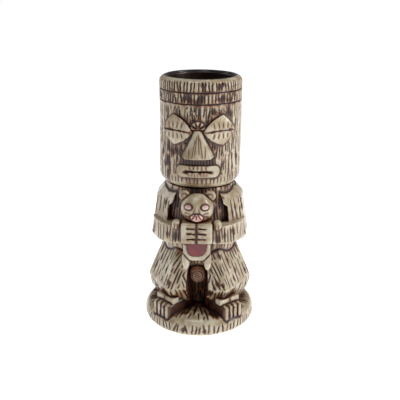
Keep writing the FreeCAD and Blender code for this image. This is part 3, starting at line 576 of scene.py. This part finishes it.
def finish(clay, material):
    """Carves a piece, works out where wash and painted shade lie on it, and hands it over as an
    object.
    """
    clay.carve()
    count = len(clay.verts)
    # how closed in each point is by clay; used below to paint shade into deep places
    shut = enclosure(clay)
    # darkening beside other pieces: wash along the joints, and painted shade in the creases
    contact = np.exp(-((clay.gap / clay.seam) ** 1.6))
    rise = np.einsum("ij,ij->i", clay.verts - relaxed(clay.verts, clay.quads, 8), clay.normals)
    wear = np.clip(rise / 0.12, 0, 1) * (1 - np.clip(shut * 1.4, 0, 1))
    # painted shade in deep places
    deep = np.clip(shut - 0.4, 0, 1) * 1.1
    # the gouges' dark wash, plus painted shade in creases and deep places
    groove = np.maximum(clay.groove, contact * 0.9) + deep + np.clip(clay.painted_shade - 0.45, 0, 1)
    groove = np.clip(groove, 0, 1)
    # painted shade where a point is sheltered, added to the stain that gathers round the gouges
    sheltered_shade = 1.2 * np.clip(shut - 0.08, 0, 1)
    pool_and_shade = np.clip(0.38 * clay.halo + 0.5 * contact + sheltered_shade + clay.painted_shade, 0, 1)
    mesh = bpy.data.meshes.new(f"clay_{clay.name}")
    mesh.vertices.add(count)
    mesh.vertices.foreach_set("co", (clay.verts / MM).reshape(-1))
    loops = np.concatenate([clay.quads.reshape(-1), *clay.caps]).astype(np.int64)
    sizes = np.array([4] * len(clay.quads) + [len(cap) for cap in clay.caps])
    mesh.loops.add(len(loops))
    mesh.loops.foreach_set("vertex_index", loops)
    mesh.polygons.add(len(sizes))
    mesh.polygons.foreach_set("loop_start", np.concatenate([[0], np.cumsum(sizes)[:-1]]))
    mesh.polygons.foreach_set("loop_total", sizes)
    mesh.update(calc_edges=True)
    mesh.validate()
    mesh.shade_smooth()
    # the wash attribute carries painted shade as well as the wash and the wear
    values = np.stack([groove, pool_and_shade, wear, np.ones(count)], axis=1)
    for name, data in (("wash", values), ("paint", clay.paint)):
        layer = mesh.color_attributes.new(name, "FLOAT_COLOR", "POINT")
        layer.data.foreach_set("color", data.reshape(-1))
    mesh.materials.append(material)
    piece = bpy.data.objects.new(f"clay_{clay.name}", mesh)
    bpy.context.scene.collection.objects.link(piece)
    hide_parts(clay.name)
    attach(piece, "root")


# ---------------- turned pieces

HEAD_R = float(CAD["head_cup"][0][:, 0].max())
HEAD_FOOT, HEAD_TOP = (float(f(CAD["head_cup"][0][:, 2])) for f in (np.min, np.max))
RIM_FOOT, RIM_TOP = (float(f(CAD["rim_band"][0][:, 2])) for f in (np.min, np.max))
BORE = HEAD_R - 6.0
NECK_BORE = BORE - 4.3
NECK_TAPER = 9
CHIN_ROUND = 8
BAND_ROUND = 0.8
LIP_ROUND = 4.4
LIP_INNER_ROUND = 1.3
GLAZE_GAP = 0.5  # how far the glaze stands in from the wall
GLAZE_FILM = 0.45
CAVITY_FLOOR = 22.0
DISC_TOP = float(CAD["foot_disc"][0][:, 2].max())
DISC_R = float(CAD["foot_disc"][0][:, 0].max())
FIXED = {"foot_disc", "torso", "head_cup", "crown_band", "rim_band", "inner_glaze"}
BACK_LEVELS = [15.5, 40, 60, 80, 118]
BACK_SHIFTS = [8.0, 6.0, 2.0, 0.0, 0.0]
RAY = 70  # longer than any way from the middle to a wall
TREES = {}


def back_of(height):
    """How far the torso's middle is set back at a height."""
    return np.interp(height, BACK_LEVELS, BACK_SHIFTS)


def measured(name, height, columns, outside):
    """A node's radii at a height about the torso's middle, met from outside or from inside."""
    if name not in TREES:
        TREES[name] = tree_of([name])
    tree = TREES[name]
    back = float(back_of(height))
    out = np.empty(columns)
    for k in range(columns):
        angle = TURN * k / columns
        way = Vector((math.sin(angle), -math.cos(angle), 0))
        middle = Vector((0, back, height))
        if outside:
            hit = tree.ray_cast(middle + way * RAY, -way, RAY)[0]
        else:
            hit = tree.ray_cast(middle, way, RAY)[0]
        out[k] = (hit - middle).length
    return out


def uneven(angle, height, radius):
    """The slight unevenness of a hand-finished round wall."""
    broad = 0.16 * np.sin(3 * angle + 0.05 * height)
    return broad + 0.12 * np.sin(7 * angle - 0.11 * height + 1.3)


def angle_of(verts):
    """Degrees from the front, positive towards the idol's left."""
    return np.degrees(np.arctan2(verts[..., 0], -verts[..., 1]))


def on_head(angle, height, proud=0.0):
    """A place on the head's wall, or in front of it, at degrees from the front."""
    t = math.radians(angle)
    return ((HEAD_R + proud) * math.sin(t), -(HEAD_R + proud) * math.cos(t), height)


def upright(point, normal):
    """The heading of gouges that run straight up."""
    return UP


def band_ticks(clay, foot, top, spacing, width, lean):
    """A row of upright gouges round a band."""
    count = int(TURN * HEAD_R / spacing)
    for k in range(count):
        angle = 360 * (k + clay.rng.uniform(-0.16, 0.16)) / count
        low = foot + clay.rng.uniform(0.1, 0.8)
        high = top - clay.rng.uniform(0.1, 0.9)
        slant = clay.rng.normal(0, lean)
        size = width * clay.rng.uniform(0.8, 1.25)
        tick = [on_head(angle - slant, low), on_head(angle + slant, high)]
        clay.carve_line(tick, size, size * 0.85)


def grain(clay, spacing, foot, top, lengths, width, free):
    """Long upright gouges side by side round a wall, with breaks, clear of other pieces."""
    count = int(TURN * HEAD_R / spacing)
    for k in range(count):
        angle = 360 * (k + clay.rng.uniform(-0.2, 0.2)) / count
        if k % 3 == 1 and abs(math.sin(math.radians(angle))) > 0.78:
            continue
        low = foot + clay.rng.uniform(0, 3.5)
        while low < top - 2:
            high = min(low + clay.rng.uniform(*lengths), top - clay.rng.uniform(0.2, 1.0))
            size = clay.rng.uniform(*width)
            drift, slant, line = 0.0, clay.rng.normal(0, 0.12), []
            for level in np.arange(low, high, 0.9):
                drift += slant + clay.rng.normal(0, 0.1)
                point = np.array(on_head(angle + drift, level))
                at = clay.nearest(point)
                if clay.gap[at] > 1.0 and free(clay.verts[at]):
                    line.append(clay.verts[at])
                elif len(line) > 2:
                    clay.add(line, size, size * 0.8)
                    line = []
                else:
                    line = []
            if len(line) > 2:
                clay.add(line, size, size * 0.8)
            low = high + clay.rng.uniform(0.6, 2.2)


def head_cup():
    """The head's wall: upright grain, short cuts round its chin and a few on its forehead."""
    r, chin = BAND_ROUND, CHIN_ROUND
    profile = along([(NECK_BORE, HEAD_FOOT), (HEAD_R - chin, HEAD_FOOT)], 1.0)
    profile += arc((HEAD_R - chin, HEAD_FOOT + chin), chin, -90, 0, 0.4)
    profile += along([profile[-1], (HEAD_R, HEAD_TOP - r)], 0.42)[1:]
    profile += arc((HEAD_R - r, HEAD_TOP - r), r, 0, 90, 0.3)[1:]
    bore = [(HEAD_R - r, HEAD_TOP), (BORE, HEAD_TOP), (BORE, HEAD_FOOT + NECK_TAPER), profile[0]]
    profile += along(bore, 4.0)[1:]
    clay = Clay("head_cup", ring_blank(profile, 500, wobble=uneven), 11)
    for k in range(-7, 8):
        angle = k * 5.6 + clay.rng.uniform(-0.7, 0.7)
        high = 127.4 + clay.rng.uniform(-0.5, 0.6)
        clay.carve_line([on_head(angle, 123.2), on_head(angle, high)], 0.5, 0.5)
    for k in range(4):
        angle = -7.2 + 4.8 * k
        clay.carve_line([on_head(angle, 173.5), on_head(angle * 1.25, 180.8)], 0.6, 0.55)

    def open_wall(verts):
        angle = np.abs(angle_of(verts))
        radius = np.hypot(verts[..., 0], verts[..., 1])
        height = verts[..., 2]
        chin_cuts = (angle < 42) & (height < 129)
        return (radius > HEAD_R - 6) & ~chin_cuts & (height < HEAD_TOP - BAND_ROUND)

    grain(clay, 2.0, HEAD_FOOT + 1.5, HEAD_TOP - 1.0, (7, 26), (0.5, 0.86), open_wall)
    finish(clay, CREAM)


def band_foot(low, high):
    """The outside of a band from the foot of its rounded lower edge up to a height."""
    r = BAND_ROUND
    profile = [(HEAD_R - r, low)] + arc((HEAD_R - r, low + r), r, -90, 0, 0.3)[1:]
    return profile + along([profile[-1], (HEAD_R, high)], 0.35)[1:]


def crown_band():
    r = BAND_ROUND
    profile = band_foot(HEAD_TOP, RIM_FOOT - r)
    profile += arc((HEAD_R - r, RIM_FOOT - r), r, 0, 90, 0.3)[1:]
    bore = [(HEAD_R - r, RIM_FOOT), (BORE, RIM_FOOT), (BORE, HEAD_TOP), (HEAD_R - r, HEAD_TOP)]
    profile += along(bore, 3.0)[1:]
    clay = Clay("crown_band", ring_blank(profile, 560, wobble=uneven), 12)
    band_ticks(clay, HEAD_TOP + 0.5, RIM_FOOT - 0.5, 2.5, 0.82, 0.6)
    finish(clay, CREAM)


def rim_band():
    """The upper band with its lip, which the dark glaze of the cavity runs over."""
    r, lip, inner = BAND_ROUND, LIP_ROUND, LIP_INNER_ROUND
    profile = band_foot(RIM_FOOT, RIM_TOP - lip)
    profile += arc((HEAD_R - lip, RIM_TOP - lip), lip, 0, 90, 0.35)[1:]
    profile += arc((BORE + inner, RIM_TOP - inner), inner, 90, 180, 0.25)
    profile += along([(BORE, RIM_TOP - inner), (BORE, RIM_FOOT), (HEAD_R - r, RIM_FOOT)], 2.0)[1:]
    clay = Clay("rim_band", ring_blank(profile, 560, wobble=uneven), 13)
    band_ticks(clay, RIM_FOOT + 0.5, RIM_TOP - 1.0, 2.6, 0.76, 0.6)
    radius = np.hypot(clay.verts[:, 0], clay.verts[:, 1])
    clay.paint[:, :3] = linear(30, 24, 23)[:3]
    edge = BORE + 2.6 + 0.35 * np.sin(0.06 * angle_of(clay.verts))
    clay.paint[:, 3] = np.clip((edge - radius) / 0.5, 0, 1) * (clay.verts[:, 2] > RIM_TOP - 3)
    finish(clay, CREAM)


def torso():
    """The trunk, turned from its measured rows, with its own hollow and gouges all over."""
    columns = 400
    levels = np.linspace(DISC_TOP + 0.02, HEAD_FOOT - 0.02, 206)
    inside = np.linspace(HEAD_FOOT - 0.02, 23.0, 26)
    outer = relaxed_rows(np.array([measured("torso", z, columns, True) for z in levels]))
    inner = np.array([measured("torso", z, columns, False) for z in inside])
    top = outer[-1:] * 0.5 + inner[:1] * 0.5
    foot, floor = outer[:1], inner[-1:]
    rows = np.vstack([foot * 0.05, foot * 0.6, outer, top, inner, floor * 0.5, floor * 0.05])
    heights = [levels[:1], levels[:1], levels, levels[-1:], inside, inside[-1:], inside[-1:]]
    heights = np.concatenate(heights)
    profile = np.stack([rows.mean(1), heights], axis=1)
    blank = ring_blank(profile, columns, centre=back_of, wobble=lambda a, h, r: rows - r)
    clay = Clay("torso", blank, 14)
    clay.hatch(1500, anywhere, upright, (1.6, 2.2), (6, 14), (0.55, 0.9), 0.06, least=9)
    clay.hatch(1500, anywhere, upright, (1.6, 2.2), (4, 8), (0.46, 0.7), 0.08)
    finish(clay, CREAM)


def relaxed_rows(rows):
    """Radii freed of the small steps that the frame's facets leave."""
    for _ in range(6):
        rows = (np.roll(rows, 1, axis=1) + 2 * rows + np.roll(rows, -1, axis=1)) / 4
        rows[1:-1] = (rows[:-2] + 2 * rows[1:-1] + rows[2:]) / 4
    return rows


def inner_glaze():
    """The lining of the cavity: its inner wall, and its back just behind that."""
    columns = 200
    levels = np.linspace(CAVITY_FLOOR, HEAD_FOOT - 0.5, 60)
    low = np.array([measured("inner_glaze", z, columns, False) for z in levels])
    neck, bore = NECK_BORE - GLAZE_GAP, BORE - GLAZE_GAP
    high = [(neck, HEAD_FOOT), (bore, HEAD_FOOT + NECK_TAPER), (bore, RIM_TOP - 1.35)]
    high = along(high, 1.2)
    wall = np.vstack([low] + [np.full((1, columns), r) for r, _ in high])
    heights = np.concatenate([levels, [z for _, z in high]])
    core, half = low[:1] * 0.04, low[:1] * 0.5
    rows = np.vstack([core, half, wall, (wall + GLAZE_FILM)[::-1], half, core])
    below = levels[0] - GLAZE_FILM
    back = np.maximum(heights[::-1], below)
    heights = np.concatenate([[levels[0]] * 2, heights, back, [below] * 2])
    profile = np.stack([rows.mean(1), heights], axis=1)
    blank = ring_blank(profile, columns, centre=back_of, wobble=lambda a, h, r: rows - r)
    finish(Clay("inner_glaze", blank, 15), DARK)


def disc_way(point, normal):
    """Outwards over the disc's top, and down its side."""
    out = np.array([point[0], point[1], 0.0])
    out /= max(np.linalg.norm(out), 1e-6)
    return out * normal[2] - UP * np.dot(normal, out)


def foot_disc():
    """The disc, with cuts up its side and cuts that fan out over its top."""
    top, side = 7.5, 5.5
    profile = along([(0.6, DISC_TOP), (12, DISC_TOP), (DISC_R - top, DISC_TOP)], 0.55)
    profile += arc((DISC_R - top, DISC_TOP - top), top, 90, 0, 0.42)[1:]
    profile += along([(DISC_R, DISC_TOP - top), (DISC_R, side)], 0.42)[1:]
    profile += arc((DISC_R - side, side), side, 0, -90, 0.42)[1:]
    hollow = [(33.0, 0.0), (33.0, 7.0), (0.6, 7.0)]
    profile += along([(DISC_R - side, 0.0)] + hollow, 1.4)[1:]
    clay = Clay("foot_disc", ring_blank(profile, 600), 16)

    # painted shade on the disc's top beside the legs and feet
    shade_near_limb = np.exp(-((clay.gap / 3.0) ** 1.5)) * (clay.verts[:, 2] > 14)
    clay.painted_shade = 0.8 * shade_near_limb * (np.hypot(clay.verts[:, 0], clay.verts[:, 1]) < 38)
    count, out = 78, DISC_R + 2
    for k in range(count):
        angle = math.radians(360 * (k + clay.rng.uniform(-0.25, 0.25)) / count)
        slant = clay.rng.normal(0, 0.02)
        low, high = clay.rng.uniform(1.6, 2.6), clay.rng.uniform(9.2, 11.5)
        points = []
        for turn, level in ((angle - slant, low), (angle + slant, high)):
            points.append((out * math.sin(turn), -out * math.cos(turn), level))
        size = clay.rng.uniform(0.55, 0.9)
        clay.carve_line(points, size, size * 0.8)

    def top_face(verts):
        radius = np.hypot(verts[..., 0], verts[..., 1])
        return (radius > 11) & (radius < 41.5) & (verts[..., 2] > 12.4)

    clay.hatch(2200, top_face, disc_way, (2.0, 2.6), (6.0, 11.0), (0.55, 0.95), 0.06, least=8)
    clay.hatch(1000, top_face, disc_way, (2.1, 2.8), (3.0, 6.0), (0.5, 0.8), 0.08)
    finish(clay, CREAM)


# ---------------- modelled pieces

BEAR_EYE = float(CAD["left_bear_eye"][0][:, 2].mean())
FACE, CHEST, BEAR = -36, -46, -44  # how far forward lines start that are laid on the pieces
FAN_LEVEL = 164.4
PENDANT_LEVEL = 45.2
FOOT_TURN = 42
FOOT_WIDTH = 18.4
TOES = 4


def modelled(name, voxel, smooth, seed, side=0):
    """A piece made from its CAD node. A side of 1 or -1 is the idol's left or its right."""
    name = {0: "", 1: "left_", -1: "right_"}[side] + name
    return Clay(name, voxel_blank(name, voxel, smooth), seed)


def anywhere(verts):
    return np.ones(verts.shape[:-1], dtype=bool)


def eye(side, seed):
    """A closed eye: a slit between its lids, and lashes above and below it."""
    clay = modelled("eye", 0.26, 5, seed, side)
    slit = ((9, 162.5), (22, 163.3), (38, 163.5), (54, 163.2))
    clay.carve_line([on_head(side * a, z, 3) for a, z in slit], 0.62, 0.75)
    for angle in (21, 27, 33, 39, 45):
        lean = (angle - 33) * 0.12
        for start, end in ((165.6, 169.3), (161.2, 157.8)):
            lash = [on_head(side * angle, start, 3), on_head(side * (angle + lean), end, 3)]
            clay.carve_line(lash, 0.42, 0.4)
    finish(clay, CREAM)


def nose(seed):
    clay = modelled("nose", 0.26, 8, seed)
    cuts = [(-8.4, 145.8, 151), (-5.6, 146.5, 158), (-2.2, 148, 160)]
    cuts += [(1.2, 149.5, 161), (4.6, 146.5, 159), (7.6, 145.8, 152)]
    for x, low, high in cuts:
        narrowing = 0.75 if high < 154 else 0.3
        clay.carve_line([(x, -44, low), (x * narrowing, FACE, high)], 0.42, 0.36, 0.8)
    finish(clay, CREAM)


def brow_fan(seed):
    clay = modelled("brow_fan", 0.2, 4, seed)
    clay.seam = 0.4
    for turn in (-58, -20, 20, 58):
        t = math.radians(turn)
        points = [(d * math.sin(t), -34, FAN_LEVEL + d * math.cos(t)) for d in (1.2, 6.2)]
        clay.carve_line(points, 0.55, 0.8)
    finish(clay, CREAM)


def teeth_row(seed):
    clay = modelled("teeth_row", 0.2, 2, seed)
    # the whole strip is darkened further: painted shade of the nose above
    clay.painted_shade += 0.35
    for k in range(-5, 6):
        x = k * 2.15
        clay.carve_line([(x, FACE, 138.0), (x, FACE, 142.6)], 0.5, 0.5, 1.3, facing=True)
    finish(clay, BROWN)


def mouth(seed):
    """The lips: a slit that bends up a little, and wrinkles above and below it."""
    clay = modelled("mouth", 0.24, 5, seed)
    slit = ((-10.8, 132.2), (-5, 132.75), (0, 132.9), (5, 132.75), (10.8, 132.2))
    clay.carve_line([(x, FACE, z) for x, z in slit], 0.9, 1.1, 1.6, facing=True)
    for k in range(-2, 3):
        clay.carve_line([(k * 3.3, FACE, 134.7), (k * 3.3, FACE, 136.5)], 0.4, 0.35)
    for k in range(-3, 4):
        clay.carve_line([(k * 2.4, FACE, 129.6), (k * 2.4, FACE, 131.0)], 0.34, 0.3)
    finish(clay, CREAM)


def hand(side, seed):
    """A flat hand, with cuts between its fingers and one where the two hands meet."""
    clay = modelled("hand", 0.3, 4, seed, side)
    low, high = clay.verts[:, 2].min(), clay.verts[:, 2].max()
    for k in (1, 2, 3):
        z = low + (high - low) * k / 4
        cut = [(side * 1.2, CHEST, z + 0.2), (side * 7.2, CHEST, z - 0.1)]
        clay.carve_line(cut, 0.62, 0.6, facing=True)
    clay.carve_line([(side * 0.2, CHEST, low + 0.4), (side * 0.2, CHEST, high - 0.4)], 0.8, 0.9)
    finish(clay, CREAM)


def arm(side, seed):
    clay = modelled("arm", 0.42, 5, seed, side)
    clay.keep_edges_bare()
    clay.bare |= np.abs(clay.normals[:, 2]) > 0.5

    def way(point, normal):
        return np.array([-side * 0.1, 0.0, 1.0])

    clay.hatch(1400, anywhere, way, (1.9, 2.6), (6, 15), (0.56, 0.95), 0.05, least=8, flat=0.8)
    clay.hatch(1400, anywhere, way, (1.9, 2.6), (3, 8), (0.5, 0.8), 0.07, flat=0.8)
    finish(clay, CREAM)


def leg(side, seed):
    """A squatting leg, with gouges that lean one way above the knee and the other below it."""
    clay = modelled("leg", 0.42, 5, seed, side)
    clay.keep_edges_bare()

    def way(point, normal):
        front = side * normal[0] < 0.5
        if normal[2] > 0.12:
            lean = 0.5 if front else 0.35
        else:
            lean = -0.34 if front else 0.05
        return np.array([-side * lean, 0.0, 1.0])

    clay.hatch(1400, anywhere, way, (1.9, 2.5), (5, 12), (0.56, 0.95), 0.05, least=6, flat=0.9)
    clay.hatch(1400, anywhere, way, (1.9, 2.5), (3, 7), (0.5, 0.8), 0.06, flat=0.9)
    # painted shade on the leg's inner side, low down between the legs
    inward = np.clip((-side * clay.normals[:, 0] - 0.25) / 0.4, 0, 1)
    clay.painted_shade = 0.7 * inward * np.clip((50 - clay.verts[:, 2]) / 8, 0, 1)
    finish(clay, CREAM)


def foot(side, seed):
    """A foot whose front is rounded into toes, with cuts between them and a nick on each."""
    clay = modelled("foot", 0.3, 5, seed, side)
    t = math.radians(FOOT_TURN)
    out = np.array([side * math.sin(t), -math.cos(t), 0])
    across = np.array([math.cos(t), side * math.sin(t), 0])
    toe = (clay.verts @ out).max()

    def at(reach, off, z):
        return tuple(out * reach + across * off + UP * z)

    off = clay.verts @ across
    reach = clay.verts @ out
    lobe = np.abs(np.sin(math.pi * (off / FOOT_WIDTH * TOES + TOES / 2)))
    ahead = np.clip((reach - (toe - 5.0)) / 5.0, 0, 1)
    round_toe = (1 - np.sqrt(np.clip(1 - (1 - lobe) ** 2, 0, 1))) * ahead**2 * 1.1
    upper = clay.verts[:, 2] > 18
    clay.verts = clay.verts - np.outer(round_toe, out) - np.outer(round_toe * 0.35 * upper, UP)
    for k in (-1, 0, 1):
        length = 7.5 if k == 0 else 4.5
        cut = ((toe - length, 27), (toe - 1, 24), (toe + 2, 17), (toe + 2, 11))
        clay.carve_line([at(far, k * 4.6, z) for far, z in cut], 0.55, 0.45)
    for spot in (-6.9, -2.3, 2.3, 6.9):
        clay.carve_line([at(toe - 6.5, spot, 27), at(toe - 3.8, spot, 26)], 0.4, 0.4)
    # painted shade on the foot's inner side
    clay.painted_shade = 0.85 * np.clip((clay.normals @ (-across * side) - 0.35) / 0.4, 0, 1)
    finish(clay, CREAM)


def anklet(side, seed):
    clay = modelled("anklet", 0.26, 4, seed, side)
    t = math.radians(FOOT_TURN)
    reach = 41.0
    out = (side * reach * math.sin(t), -reach * math.cos(t))
    clay.carve_line([(*out, z) for z in (23.4, 28.6)], 0.5, 0.5)
    finish(clay, CREAM)


def ring_line(x, y, z, wide, high, turns, skew=0.0):
    """Points of an upright oval in front of a piece."""
    return [
        (x + wide * math.sin(a), y, z + high * math.cos(a) - skew * math.sin(a)) for a in turns
    ]


def pendant(seed):
    """The gourd, with a ring cut into its front and slanting cuts inside that."""
    clay = modelled("pendant", 0.24, 5, seed)
    ring = ring_line(0, -32, PENDANT_LEVEL, 4.5, 4.9, np.linspace(0, TURN, 25))
    clay.carve_line(ring, 0.6, 0.7, facing=True)
    for k in (-1.5, -0.5, 0.5, 1.5):
        x, z = k * 0.95, PENDANT_LEVEL - k * 1.5
        half = 2.9 if abs(k) < 1 else 1.9
        points = [(x + s * half * 0.85, -32, z + s * half * 0.5) for s in (-1, 1)]
        clay.carve_line(points, 0.4, 0.45, facing=True)
    finish(clay, BROWN)


def bear_head(seed):
    """The bear's head: a dark rim round each eye, and lines beside its nose and on its cheeks."""
    clay = modelled("bear_head", 0.3, 4, seed)
    clay.seam = 0.7
    for side in (-1, 1):
        turns = np.linspace(0, TURN, 21)
        rim = ring_line(side * 6.0, BEAR, BEAR_EYE, 3.3, 2.6, turns, side * 0.3)
        clay.carve_line(rim, 0.3, 0.3, 0.8, facing=True)
        nose_line = (0.4, (1.5, -46, -1.5), (2.4, -47, -4.2))
        cheek = (0.36, (5.6, BEAR, -5.4), (8.6, -43, -5.0))
        lower_cheek = (0.36, (5.2, BEAR, -7.4), (8.0, -43, -8.0))
        for width, *ends in (nose_line, cheek, lower_cheek):
            line = [(side * x, y, BEAR_EYE + z) for x, y, z in ends]
            clay.carve_line(line, width, 0.3, facing=True)
    finish(clay, CREAM)


def tint(clay, lines, reach, colour, strength=1.0):
    """Paints a colour along lines on a piece."""
    dots = np.vstack([np.linspace(a, b, 12) for a, b in lines])
    dots = np.array(clay.press(dots.tolist()))
    dist = np.linalg.norm(clay.verts[:, None, :] - dots[None, :, :], axis=2).min(1)
    clay.paint[:, :3] = linear(*colour)[:3]
    clay.paint[:, 3] = strength * np.clip(1.6 - dist / reach, 0, 1)


def muzzle(seed):
    """The bear's muzzle, with red lines that fan down from its nose."""
    clay = modelled("bear_muzzle", 0.22, 3, seed)
    clay.seam = 0.4
    peak, foot = BEAR_EYE - 4.4, BEAR_EYE - 9.4
    lines = [[(s * 0.3, -48, peak), (s * 3.4, -47, foot)] for s in (-1, 1)]
    lines.append([(0, -48, peak - 2.4), (0, -48, foot)])
    for line in lines:
        clay.carve_line(line, 0.5, 0.5, 0.3, facing=True)
    tint(clay, lines, 0.55, (122, 22, 30))
    finish(clay, PINK)


def paw(side, seed):
    clay = modelled("bear_paw", 0.22, 4, seed, side)
    low, high = clay.verts[:, 2].min(), clay.verts[:, 2].max()
    for off in (-1.3, 1.1):
        x = side * 15.3 + off
        cut = [(x, BEAR, low + 1.0), (x, BEAR, (low + high) / 2 + 0.6)]
        clay.carve_line(cut, 0.42, 0.45, facing=True)
    finish(clay, CREAM)


def plain(name, voxel, smooth, seed, material=CREAM, seam=0.8):
    """A piece with nothing carved in it."""
    clay = modelled(name, voxel, smooth, seed)
    clay.seam = seam
    finish(clay, material)


def ear(side, seed):
    clay = modelled("bear_ear", 0.24, 4, seed, side)
    x, _, z = clay.verts.mean(0)
    turns = np.linspace(-1.5, 1.5, 11) + side * 0.5
    arch = ring_line(x - side * 0.3, BEAR, z - 0.2, 2.1, 2.1, turns)
    clay.carve_line(arch, 0.4, 0.4, facing=True)
    finish(clay, CREAM)


head_cup()
crown_band()
rim_band()
torso()
inner_glaze()
foot_disc()
nose(31)
brow_fan(32)
teeth_row(33)
mouth(34)
pendant(35)
bear_head(36)
muzzle(37)
for side, shift in ((1, 0), (-1, 20)):
    label = "left" if side > 0 else "right"
    eye(side, 41 + shift)
    hand(side, 42 + shift)
    arm(side, 43 + shift)
    leg(side, 44 + shift)
    foot(side, 45 + shift)
    anklet(side, 46 + shift)
    paw(side, 47 + shift)
    ear(side, 48 + shift)
    plain(f"{label}_bear_eye", 0.16, 3, 49 + shift, PINK, 0.2)
    plain(f"{label}_bear_leg", 0.24, 4, 50 + shift)
plain("bear_body", 0.3, 5, 81)
plain("belly_patch", 0.22, 3, 82, RED, 0.5)


# ---------------- floor, light and camera


def stage_floor():
    """A plain pale floor that glows a little."""
    mesh = bpy.data.meshes.new("floor")
    half = 12.0
    square = [(-half, -half, 0), (half, -half, 0), (half, half, 0), (-half, half, 0)]
    mesh.from_pydata(square, [], [(0, 1, 2, 3)])
    floor = bpy.data.objects.new("floor", mesh)
    bpy.context.scene.collection.objects.link(floor)
    material = bpy.data.materials.new("pale_floor")
    material.use_nodes = True
    shader = material.node_tree.nodes["Principled BSDF"]
    shader.inputs["Base Color"].default_value = (0.9, 0.9, 0.9, 1)
    shader.inputs["Roughness"].default_value = 0.9
    shader.inputs["Specular IOR Level"].default_value = 0.1
    shader.inputs["Emission Color"].default_value = (1, 1, 1, 1)
    shader.inputs["Emission Strength"].default_value = 0.84
    mesh.materials.append(material)


def area(name, place, size, power):
    """A soft box that faces the mug's middle."""
    light = bpy.data.lights.new(name, "AREA")
    light.shape = "RECTANGLE"
    light.size, light.size_y = size
    light.energy = power
    obj = bpy.data.objects.new(name, light)
    bpy.context.scene.collection.objects.link(obj)
    obj.location = place
    way = Vector((0, 0, 0.1)) - Vector(place)
    obj.rotation_euler = way.to_track_quat("-Z", "Y").to_euler()


def sky(front, around):
    """A white surround that is dimmer in front of the idol than beside, behind and above it."""
    world = bpy.data.worlds.new("studio")
    world.use_nodes = True
    nodes, links = world.node_tree.nodes, world.node_tree.links
    back = nodes["Background"]
    back.inputs["Color"].default_value = (1, 1, 1, 1)
    place = nodes.new("ShaderNodeTexCoord")
    split = nodes.new("ShaderNodeSeparateXYZ")
    links.new(place.outputs["Generated"], split.inputs[0])
    ramp = nodes.new("ShaderNodeMapRange")
    ramp.interpolation_type = "SMOOTHSTEP"
    for name, number in zip(RANGE, (-0.95, -0.2, front, around)):
        ramp.inputs[name].default_value = number
    links.new(split.outputs["Y"], ramp.inputs["Value"])
    links.new(ramp.outputs["Result"], back.inputs["Strength"])
    bpy.context.scene.world = world


def camera():
    """Looks down a little on the mug, from slightly to one side."""
    data = bpy.data.cameras.new("camera")
    data.sensor_width = 36
    data.lens = 58.05
    data.clip_start = 0.01
    obj = bpy.data.objects.new("camera", data)
    bpy.context.scene.collection.objects.link(obj)
    turn, away, roll = math.radians(3.3), 0.49, 0.0065
    place = Vector((away * math.sin(turn), -away * math.cos(turn), 0.268))
    target = Vector((0, 0, 0.0998))
    face = (target - place).to_track_quat("-Z", "Y").to_matrix().to_4x4()
    obj.matrix_world = Matrix.Translation(place) @ face @ Matrix.Rotation(roll, 4, "Z")
    bpy.context.scene.camera = obj


stage_floor()
sky(0.05, 0.2)
area("left_box", (-0.85, 0.25, 0.5), (0.2, 0.8), 1.2)
area("right_box", (0.8, -0.2, 0.55), (0.22, 0.8), 5)
area("top_box", (-0.1, -0.35, 0.95), (0.4, 0.4), 1.6)
camera()
bpy.context.scene.view_settings.view_transform = "Standard"
